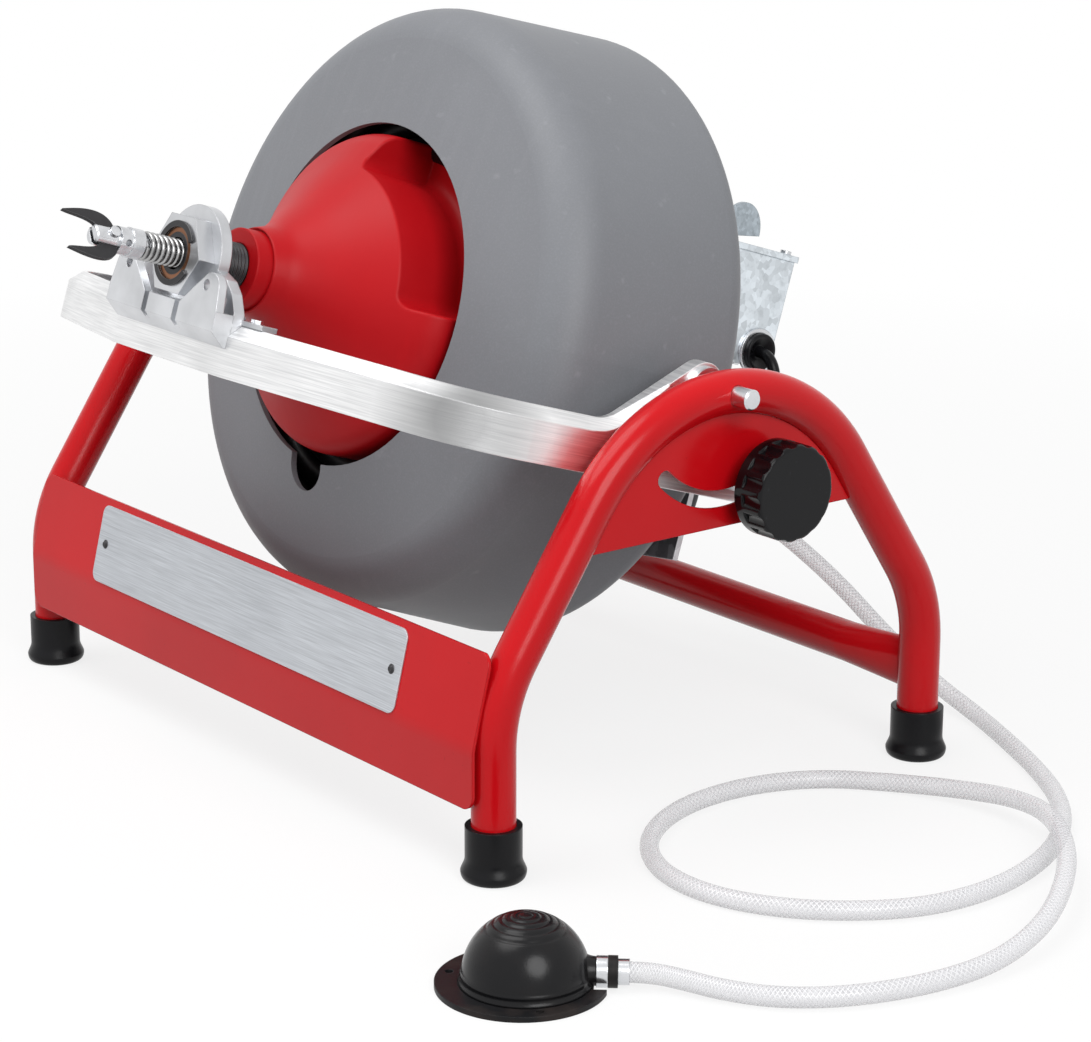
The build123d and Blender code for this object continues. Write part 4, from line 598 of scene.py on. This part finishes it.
def hose_route(hose):
    """From the pedal's nipple round the loop on the floor, and up to the barb under the switch box."""
    low, high = hose.floor, hose.hump
    return [
        (0.40032, -0.20286, 0.0088), (0.41105, -0.19033, 0.0088), (0.426, -0.181, 0.0076),
        (0.447, -0.171, 0.0062), (0.471, -0.153, low), (0.491, -0.123, low), (0.504, -0.082, low),
        (0.508, -0.038, 0.007), (0.499, 0.005, 0.012), (0.478, 0.044, 0.0175), (0.446, 0.082, high),
        (0.404, 0.114, high), (0.362, 0.128, 0.015), (0.320, 0.123, 0.009), (0.282, 0.106, low),
        (0.251, 0.078, low), (0.234, 0.038, low), (0.233, -0.007, low), (0.247, -0.047, low),
        (0.273, -0.078, low), (0.308, -0.095, low), (0.346, -0.095, low), (0.382, -0.078, low),
        (0.411, -0.049, low), (0.431, -0.013, low), (0.436, 0.028, low), (0.429, 0.069, low),
        (0.413, 0.108, low), (0.389, 0.141, low), (0.358, 0.169, low), (0.318, 0.193, low),
        (0.270, 0.216, low), (0.226, 0.234, 0.0065), (0.187, 0.236, 0.016), (0.152, 0.221, 0.046),
        (0.126, 0.209, 0.072), (0.102, 0.195, 0.094), (0.084, 0.178, 0.113), (0.071, 0.164, 0.132),
        (0.061, 0.155, 0.152), in_cradle(0.055, -0.170, -0.028), in_cradle(0.055, -0.170, -0.006)]


def cord_route(cord):
    """Out of the gland, down behind the motor, over the rear cross tube and along the floor to the coil."""
    coil = coil_centre(cord)
    outer = coil.y + cord.coil_radius
    return [
        in_cradle(0.0825, -0.1725, 0.0243), in_cradle(0.0901, -0.1725, 0.0243), (0.0972, 0.1715, 0.218),
        (0.0994, 0.1712, 0.2085), (0.0998, 0.1713, 0.197), (0.097, 0.174, 0.182), (0.090, 0.178, 0.166),
        (0.079, 0.182, 0.152), (0.062, 0.186, 0.142), (0.040, 0.188, 0.136), (0.010, 0.189, 0.1305),
        (-0.025, 0.189, 0.124), (-0.060, 0.186, 0.116), (-0.092, 0.177, 0.106), (-0.120, 0.161, 0.095),
        (-0.146, 0.140, 0.078), (-0.166, 0.115, 0.055), (-0.178, 0.088, 0.033), (-0.183, 0.066, 0.018),
        (-0.182, 0.048, 0.009), (-0.174, 0.035, 0.006), (-0.161, outer, cord.floor),
        (coil.x - cord.diameter, outer, cord.floor)]


def coil_centre(cord):
    """The middle of the coil on the floor, from the box of its CAD solid."""
    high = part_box("cord_coil")[1]
    reach = cord.coil_radius + cord.diameter / 2
    return Vector((high.x - reach, high.y - reach, 0))


def coil_turns(cord, steps=8):
    """Control points of the coil: half turns inward on the floor, one up a layer, half turns outward."""
    low, high = cord.floor, cord.floor + cord.coil_layer
    inward = [cord.coil_radius - i * cord.coil_pitch / 2 for i in range(cord.half_turns)]
    climb = inward[-1] - cord.coil_pitch / 2
    halves = [(radius, low, low) for radius in inward]
    halves += [(climb, low, high)] + [(radius, high, high) for radius in reversed(inward)]
    centre = coil_centre(cord)
    spread = 1 / cos(pi / (2 * steps))
    back, side = cord.coil_radius, 1
    points = []
    for radius, start, end in halves:
        middle = back - side * radius
        for step in range(steps):
            part = (step + 0.5) / steps
            reach = side * radius * spread
            points.append(centre + Vector((
                reach * sin(pi * part), middle + reach * cos(pi * part), start + (end - start) * part)))
        back, side = middle - side * radius, -side
    points.append(centre + Vector((0, back, high)))
    points.append(centre + Vector((side * cord.diameter, back, high)))
    return points


def spring_turns(cable, steps=16):
    """Control points of the visible spring, on a helix about the drum axis."""
    reach = cable.spring_radius / cos(pi / steps)
    start = cable.end - cable.turns * cable.pitch
    points = []
    for i in range(cable.turns * steps + 1):
        turn = 2 * pi * i / steps
        points.append(in_cradle(reach * cos(turn), start + cable.pitch * i / steps, reach * sin(turn)))
    return points


def stored_turns(cable, steps=28):
    """Control points of the cable that lies against the drum's front wall, turn inside turn."""
    points = []
    for i in range(cable.stored_turns * steps + 1):
        turn = 2 * pi * i / steps
        reach = cable.stored_radius - cable.stored_step * i / steps
        points.append(in_cradle(reach * cos(turn), cable.stored_place, reach * sin(turn)))
    return points


def dome_profile(pedal, outer, foot, top):
    """Radius and height down the outside of the dome, out over its foot, and up its inside."""
    height = top - foot
    crown = []
    for i in range(DOME_STEPS + 1):
        turn = pi / 2 * (1 - i / DOME_STEPS)
        radius = outer * cos(turn)
        ring = radius / pedal.ring_step
        on_ring = 0.5 < ring < pedal.rings + 0.5
        groove = max(0.0, 1 - GROOVE_SHARPNESS * abs(ring - round(ring))) if on_ring else 0.0
        crown.append((radius, foot + height * sin(turn) ** DOME_SQUARENESS - pedal.ring_depth * groove))
    shoulder = [point for point in crown if point[1] > foot + DOME_SHOULDER]
    flare = [(outer + out, foot + rise) for out, rise in DOME_FLARE]
    flare += [(outer + pedal.foot / 2, foot + FOOT_BEND), (outer + pedal.foot, foot)]
    inside = []
    for i in range(INSIDE_STEPS + 1):
        turn = pi / 2 * i / INSIDE_STEPS
        inside.append(((outer - pedal.wall) * cos(turn), foot + (height - pedal.wall) * sin(turn)))
    return shoulder + flare + inside


def neck_profile(pedal, start, end):
    """Radius and distance along the hose's neck, from inside the dome to its clamp."""
    points = [(0.0, start)]
    for i in range(NECK_STEPS + 1):
        part = i / NECK_STEPS
        flare = (pedal.neck - pedal.neck_end) * (1 - part) ** NECK_SWEEP
        points.append((pedal.neck_end + flare, start + (end - start) * part))
    return points + [(0.0, end)]


class DRAIN_OT_stand(bpy.types.Operator):
    """Paint the stand, and finish its feet, pins and bare name plate"""
    bl_idname = "drain_cleaner.stand"
    bl_label = "Stand"

    def execute(self, context):
        colours = context.scene.drain_colours
        dress(enamel_finish(colours), "left_arch", "right_arch", "right_gusset", "front_panel",
              "rear_cross_tube")
        dress(rubber_finish("foot_rubber", colours.rubber, 0.3), "front_left_foot", "front_right_foot",
              "rear_left_foot", "rear_right_foot")
        plate = brushed_finish("plate_metal", colours.plate, (30, 1600, 1600), 0.46, patch_and_shade_depth=0.06)
        dress(plate, "name_plate")
        dress(plated_finish("pin_zinc", colours.zinc, 0.16), "left_pivot_pin", "right_pivot_pin")
        dress(dark_steel_finish("rivet_steel", colours.dark_steel, 0.5), "plate_rivets")
        return {"FINISHED"}


class DRAIN_OT_cradle(bpy.types.Operator):
    """Finish the yoke, the nozzle's parts and the rear plate"""
    bl_idname = "drain_cleaner.cradle"
    bl_label = "Cradle"

    def execute(self, context):
        colours = context.scene.drain_colours
        # The yoke gets a painted shade at its bend.
        yoke = brushed_finish(
            "yoke_aluminium", colours.aluminium, (24, 24, 1300), 0.3, turn=(TILT, 0, 0), patch_and_shade_depth=0.9,
            shade_at=in_cradle(*YOKE_BEND_SHADE))
        dress(yoke, "yoke")
        dress(plated_finish("nozzle_zinc", colours.zinc, 0.24), "nozzle_plate", "nozzle_saddle",
              "nozzle_hex", "saddle_screws", "cradle_bolts", "lock_stud", "stud_spacer", "drum_spindle",
              "pivot_bushes")
        dress(galvanised_finish("rear_plate_zinc", colours.zinc, 150.0), "rear_plate")
        dress(plated_finish("bush_bronze", colours.bronze, 0.3), "nozzle_bush")
        dress(dark_steel_finish("ring_steel", colours.dark_steel, 0.35), "retaining_ring")
        return {"FINISHED"}


class DRAIN_OT_drive(bpy.types.Operator):
    """Finish the motor, its pulleys and the belt"""
    bl_idname = "drain_cleaner.drive"
    bl_label = "Drive"

    def execute(self, context):
        colours = context.scene.drain_colours
        dress(motor_finish(colours), "motor_casing", "motor_end_cap")
        dress(dark_steel_finish("stator_iron", colours.dark_steel, 0.3), "motor_stator")
        dress(plated_finish("shaft_steel", colours.cable, 0.2), "motor_rotor")
        pulley = brushed_finish("pulley_metal", colours.aluminium, (500, 500, 500), 0.3)
        dress(pulley, "motor_pulley", "drum_pulley")
        dress(rubber_finish("belt_rubber", colours.rubber, 0.5), "v_belt")
        return {"FINISHED"}


class DRAIN_OT_switch_box(bpy.types.Operator):
    """Finish the switch box, its lever and the cord's gland"""
    bl_idname = "drain_cleaner.switch_box"
    bl_label = "Switch box"

    def execute(self, context):
        colours = context.scene.drain_colours
        dress(galvanised_finish("box_sheet", colours.galvanised, 230.0), "switch_box", "box_lid")
        zinc = plated_finish("box_zinc", colours.zinc, 0.2)
        dress(zinc, "lid_screws", "hose_barb")
        dress(galvanised_finish("lever_zinc", colours.lever, 420.0), "direction_lever")
        dress(rubber_finish("gland_rubber", colours.rubber, 0.26), "cord_gland")
        low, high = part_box("cord_gland")
        inner = (high.z - low.z) / 2 + NUT_GAP
        rim = inner + NUT_RIM
        bm = spun([
            (inner, 0.0), (rim, 0.0), (rim, NUT_THICKNESS - NUT_EDGE[1]),
            (rim - NUT_EDGE[0], NUT_THICKNESS), (inner, NUT_THICKNESS), (inner, 0.0)], 64)
        bmesh.ops.rotate(bm, verts=bm.verts, cent=(0, 0, 0), matrix=Matrix.Rotation(pi / 2, 3, "Y"))
        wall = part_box("switch_box")[1].x + NUT_GAP
        bmesh.ops.translate(bm, verts=bm.verts, vec=(wall, (low.y + high.y) / 2, (low.z + high.z) / 2))
        nut = add_piece("gland_nut", mesh_from(bm, "gland_nut"), zinc, smooth=False)
        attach(nut, "cradle")
        return {"FINISHED"}


class DRAIN_OT_drum(bpy.types.Operator):
    """Finish the drum, its cone, hub and nozzle tube"""
    bl_idname = "drain_cleaner.drum"
    bl_label = "Drum"

    def execute(self, context):
        colours = context.scene.drain_colours
        dress(drum_finish(colours), "drum_shell")
        dress(cone_finish(colours), "inner_cone")
        dress(dark_steel_finish("nozzle_steel", colours.dark_steel, 0.35), "nozzle_tube")
        dress(brushed_finish("hub_aluminium", colours.aluminium, (300, 300, 300), 0.34), "drum_hub")
        dress(plated_finish("bearing_steel", colours.zinc, 0.14), "front_hub_bearing", "rear_hub_bearing")
        dress(plated_finish("coupling_steel", colours.zinc, 0.18, 120.0), "cable_coupling", "cutter_screw")
        dress(dark_steel_finish("cutter_steel", colours.dark_steel, 0.3), "cutter")
        return {"FINISHED"}


class DRAIN_OT_cable(bpy.types.Operator):
    """Wind the visible spring of the drain cable, and the turns stored in the drum"""
    bl_idname = "drain_cleaner.cable"
    bl_label = "Drain cable"

    def execute(self, context):
        cable = context.scene.drain_cable
        colours = context.scene.drain_colours
        steel = plated_finish("cable_steel", colours.cable, 0.2, 300.0)
        coiled = tube_mesh(spring_turns(cable), cable.wire, 4, 4)
        spring = add_piece("cable_spring", coiled, steel)
        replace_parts(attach(spring, "drum"), "drain_cable")
        # Painted shade: the stored turns are made near black, so that the gap between the cone and the
        # drum's opening reads as shadow.
        stored = tube_mesh(stored_turns(cable), cable.stored, 4, 4)
        shadow_black = dark_steel_finish("oiled_cable", tint(colours.dark_steel, 0.4), 0.0)
        wound = add_piece("stored_cable", stored, shadow_black)
        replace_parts(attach(wound, "drum"), "cable_coil")
        return {"FINISHED"}


class DRAIN_OT_knob(bpy.types.Operator):
    """Finish the locking knob"""
    bl_idname = "drain_cleaner.knob"
    bl_label = "Locking knob"

    def execute(self, context):
        dress(knob_finish("knob_black", context.scene.drain_colours.knob), "lock_knob")
        return {"FINISHED"}


class DRAIN_OT_pedal(bpy.types.Operator):
    """Mould the air pedal's dome, and finish its base and the hose clamps"""
    bl_idname = "drain_cleaner.pedal"
    bl_label = "Air pedal"

    def execute(self, context):
        colours = context.scene.drain_colours
        pedal = context.scene.drain_pedal
        rubber = rubber_finish("pedal_rubber", colours.pedal, 0.2, colours.dust, 0.1, 0.22)
        dress(rubber_finish("flange_rubber", colours.pedal, 0.42, colours.dust, 0.7), "pedal_base")
        dress(plated_finish("clamp_zinc", colours.zinc, 0.14), "hose_clamps")
        low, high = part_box("pedal_dome")
        centre = Vector(((low.x + high.x) / 2, (low.y + high.y) / 2, 0))
        bm = spun(dome_profile(pedal, (high.x - low.x) / 2, low.z, high.z))
        bmesh.ops.translate(bm, verts=bm.verts, vec=centre)
        dome = add_piece("pedal_rubber_dome", mesh_from(bm, "dome"), rubber)
        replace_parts(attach(dome, "dome"), "pedal_dome")
        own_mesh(dome)
        start, end = (Vector(point) for point in hose_route(context.scene.drain_hose)[:2])
        along = (end - start).normalized()
        reach = (start - centre).dot(along)
        bm = spun(neck_profile(pedal, reach - pedal.neck_start, reach - pedal.neck_stop), 64)
        turn = Vector((0, 0, 1)).rotation_difference(along).to_matrix()
        bmesh.ops.rotate(bm, verts=bm.verts, cent=(0, 0, 0), matrix=turn)
        bmesh.ops.translate(bm, verts=bm.verts, vec=start - along * reach)
        cut = bmesh.ops.bisect_plane(
            bm, geom=bm.verts[:] + bm.edges[:] + bm.faces[:], plane_co=(0, 0, low.z), plane_no=(0, 0, -1),
            clear_outer=True)
        rim = [piece for piece in cut["geom_cut"] if isinstance(piece, bmesh.types.BMEdge)]
        bmesh.ops.contextual_create(bm, geom=rim)
        neck = add_piece("pedal_neck", mesh_from(bm, "neck"), rubber)
        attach(neck, "frame")
        return {"FINISHED"}


class DRAIN_OT_air_hose(bpy.types.Operator):
    """Lay the clear air hose from the pedal to the switch box"""
    bl_idname = "drain_cleaner.air_hose"
    bl_label = "Air hose"

    def execute(self, context):
        hose = context.scene.drain_hose
        route = hose_route(hose)
        finish = hose_finish(context.scene.drain_colours, hose)
        tube = add_piece("clear_air_hose", tube_mesh(route, hose.diameter), finish)
        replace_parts(tube, "air_hose")
        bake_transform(tube)
        middle_line(route)
        return {"FINISHED"}


class DRAIN_OT_power_cord(bpy.types.Operator):
    """Lay the power cord from its gland, and coil what is put away"""
    bl_idname = "drain_cleaner.power_cord"
    bl_label = "Power cord"

    def execute(self, context):
        colours = context.scene.drain_colours
        cord = context.scene.drain_cord
        route = cord_route(cord) + coil_turns(cord)
        rubber = rubber_finish("cord_rubber", colours.rubber, 0.3)
        tube = add_piece("black_power_cord", tube_mesh(route, cord.diameter), rubber)
        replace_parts(tube, "power_cord", "cord_coil")
        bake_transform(tube)
        dress(plug_finish(colours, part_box("plug")[0].x + PLUG_BLADES), "plug")
        dress(knob_finish("tie_black", colours.knob), "coil_tie")
        middle_line(route)
        return {"FINISHED"}


class DRAIN_OT_stage(bpy.types.Operator):
    """Set the floor, the soft boxes, the room's light and the camera"""
    bl_idname = "drain_cleaner.stage"
    bl_label = "Stage"

    def execute(self, context):
        stage = context.scene.drain_stage
        add_floor(stage)
        for name, place, target, size, mirrored in LAMPS:
            add_lamp(name, place, target, getattr(stage, name), size, mirrored)
        light_room(context.scene, stage.sky)
        add_camera(context.scene, stage)
        context.scene.view_settings.view_transform = "Standard"
        return {"FINISHED"}


def seen_directly(finish):
    """One for rays from the camera, and for those that metal or clear plastic sends on."""
    camera = finish.node("LightPath", output="Is Camera Ray")
    mirrored = finish.math("MAXIMUM", camera, camera.beside("Is Glossy Ray"))
    return finish.math("MAXIMUM", mirrored, camera.beside("Is Transmission Ray"))


def add_floor(stage):
    """Pale paper that keeps the machine's shadow and fades to the white of the room away from it."""
    bm = bmesh.new()
    bmesh.ops.create_grid(bm, x_segments=1, y_segments=1, size=stage.floor_size / 2)
    paper = Finish("studio_floor")
    seen = seen_directly(paper)
    away = paper.node("VectorMath", {"operation": "LENGTH"}, {0: paper.place}, "Value")
    fade = paper.ramp(away * 0.5, 0.25, 0.7, stage.glow, 1.0)
    plain = paper.node("BsdfDiffuse", None, {"Color": paper.mix(seen, stage.bounce, stage.floor)})
    glow = paper.node("Emission", None, {"Color": (1, 1, 1, 1), "Strength": 1.0})
    surface = paper.node("MixShader", None, {0: seen * fade, 1: plain, 2: glow})
    paper.node("OutputMaterial", None, {"Surface": surface})
    mesh = mesh_from(bm, "studio_floor")
    mesh.materials.append(paper.material)
    floor = bpy.data.objects.new("studio_floor", mesh)
    bpy.context.scene.collection.objects.link(floor)


def add_lamp(name, place, target, watts, size, mirrored):
    """A round soft box; one that isn't mirrored lights the machine but leaves no patch on its metal."""
    lamp = bpy.data.lights.new(name, "AREA")
    lamp.shape = "DISK"
    lamp.size = size
    lamp.energy = watts
    holder = bpy.data.objects.new(name, lamp)
    holder.location = place
    holder.rotation_euler = (Vector(target) - Vector(place)).to_track_quat("-Z", "Y").to_euler()
    holder.visible_glossy = mirrored
    bpy.context.scene.collection.objects.link(holder)


def light_room(scene, strength):
    """A white room: rays that show the background see pure white, and the light it gives is softer."""
    scene.world = bpy.data.worlds.new("studio_room")
    room = Finish("studio_room", scene.world)
    soft = room.node("Background", None, {"Color": (1, 1, 1, 1), "Strength": strength})
    white = room.node("Background", None, {"Color": (1, 1, 1, 1), "Strength": 1.0})
    surface = room.node("MixShader", None, {0: seen_directly(room), 1: soft, 2: white})
    room.node("OutputWorld", None, {"Surface": surface})


def add_camera(scene, stage):
    """The photograph's camera."""
    camera = bpy.data.cameras.new("studio_camera")
    camera.lens = stage.lens
    camera.sensor_width = SENSOR_WIDTH
    holder = bpy.data.objects.new("studio_camera", camera)
    turn = Matrix.Rotation(stage.azimuth, 4, "Z") @ Matrix.Rotation(pi / 2 - stage.elevation, 4, "X")
    holder.matrix_world = Matrix.Translation(stage.camera) @ turn @ Matrix.Rotation(stage.roll, 4, "Z")
    scene.collection.objects.link(holder)
    scene.camera = holder


class DRAIN_PT_panel(bpy.types.Panel):
    """The drain cleaner's pieces, in the order that they are made"""
    bl_label = "Drain cleaner"
    bl_idname = "DRAIN_PT_panel"
    bl_space_type = "VIEW_3D"
    bl_region_type = "UI"
    bl_category = "Drain cleaner"

    def draw(self, context):
        for operator in OPERATORS:
            self.layout.operator(operator.bl_idname)


GROUPS = {
    "drain_colours": FinishColours, "drain_hose": HoseSizes, "drain_cord": CordSizes,
    "drain_cable": CableSizes, "drain_pedal": PedalSizes, "drain_stage": StageSettings}
OPERATORS = (
    DRAIN_OT_stage, DRAIN_OT_air_hose, DRAIN_OT_power_cord, DRAIN_OT_stand, DRAIN_OT_cradle, DRAIN_OT_drive,
    DRAIN_OT_switch_box, DRAIN_OT_drum, DRAIN_OT_cable, DRAIN_OT_knob, DRAIN_OT_pedal)


def register():
    for kind in (*GROUPS.values(), *OPERATORS, DRAIN_PT_panel):
        bpy.utils.register_class(kind)
    for name, kind in GROUPS.items():
        setattr(bpy.types.Scene, name, PointerProperty(type=kind))


def unregister():
    for name in GROUPS:
        delattr(bpy.types.Scene, name)
    for kind in reversed((*GROUPS.values(), *OPERATORS, DRAIN_PT_panel)):
        bpy.utils.unregister_class(kind)


def main():
    register()
    for operator in OPERATORS:
        area, name = operator.bl_idname.split(".")
        getattr(getattr(bpy.ops, area), name)()


if __name__ == "__main__":
    main()
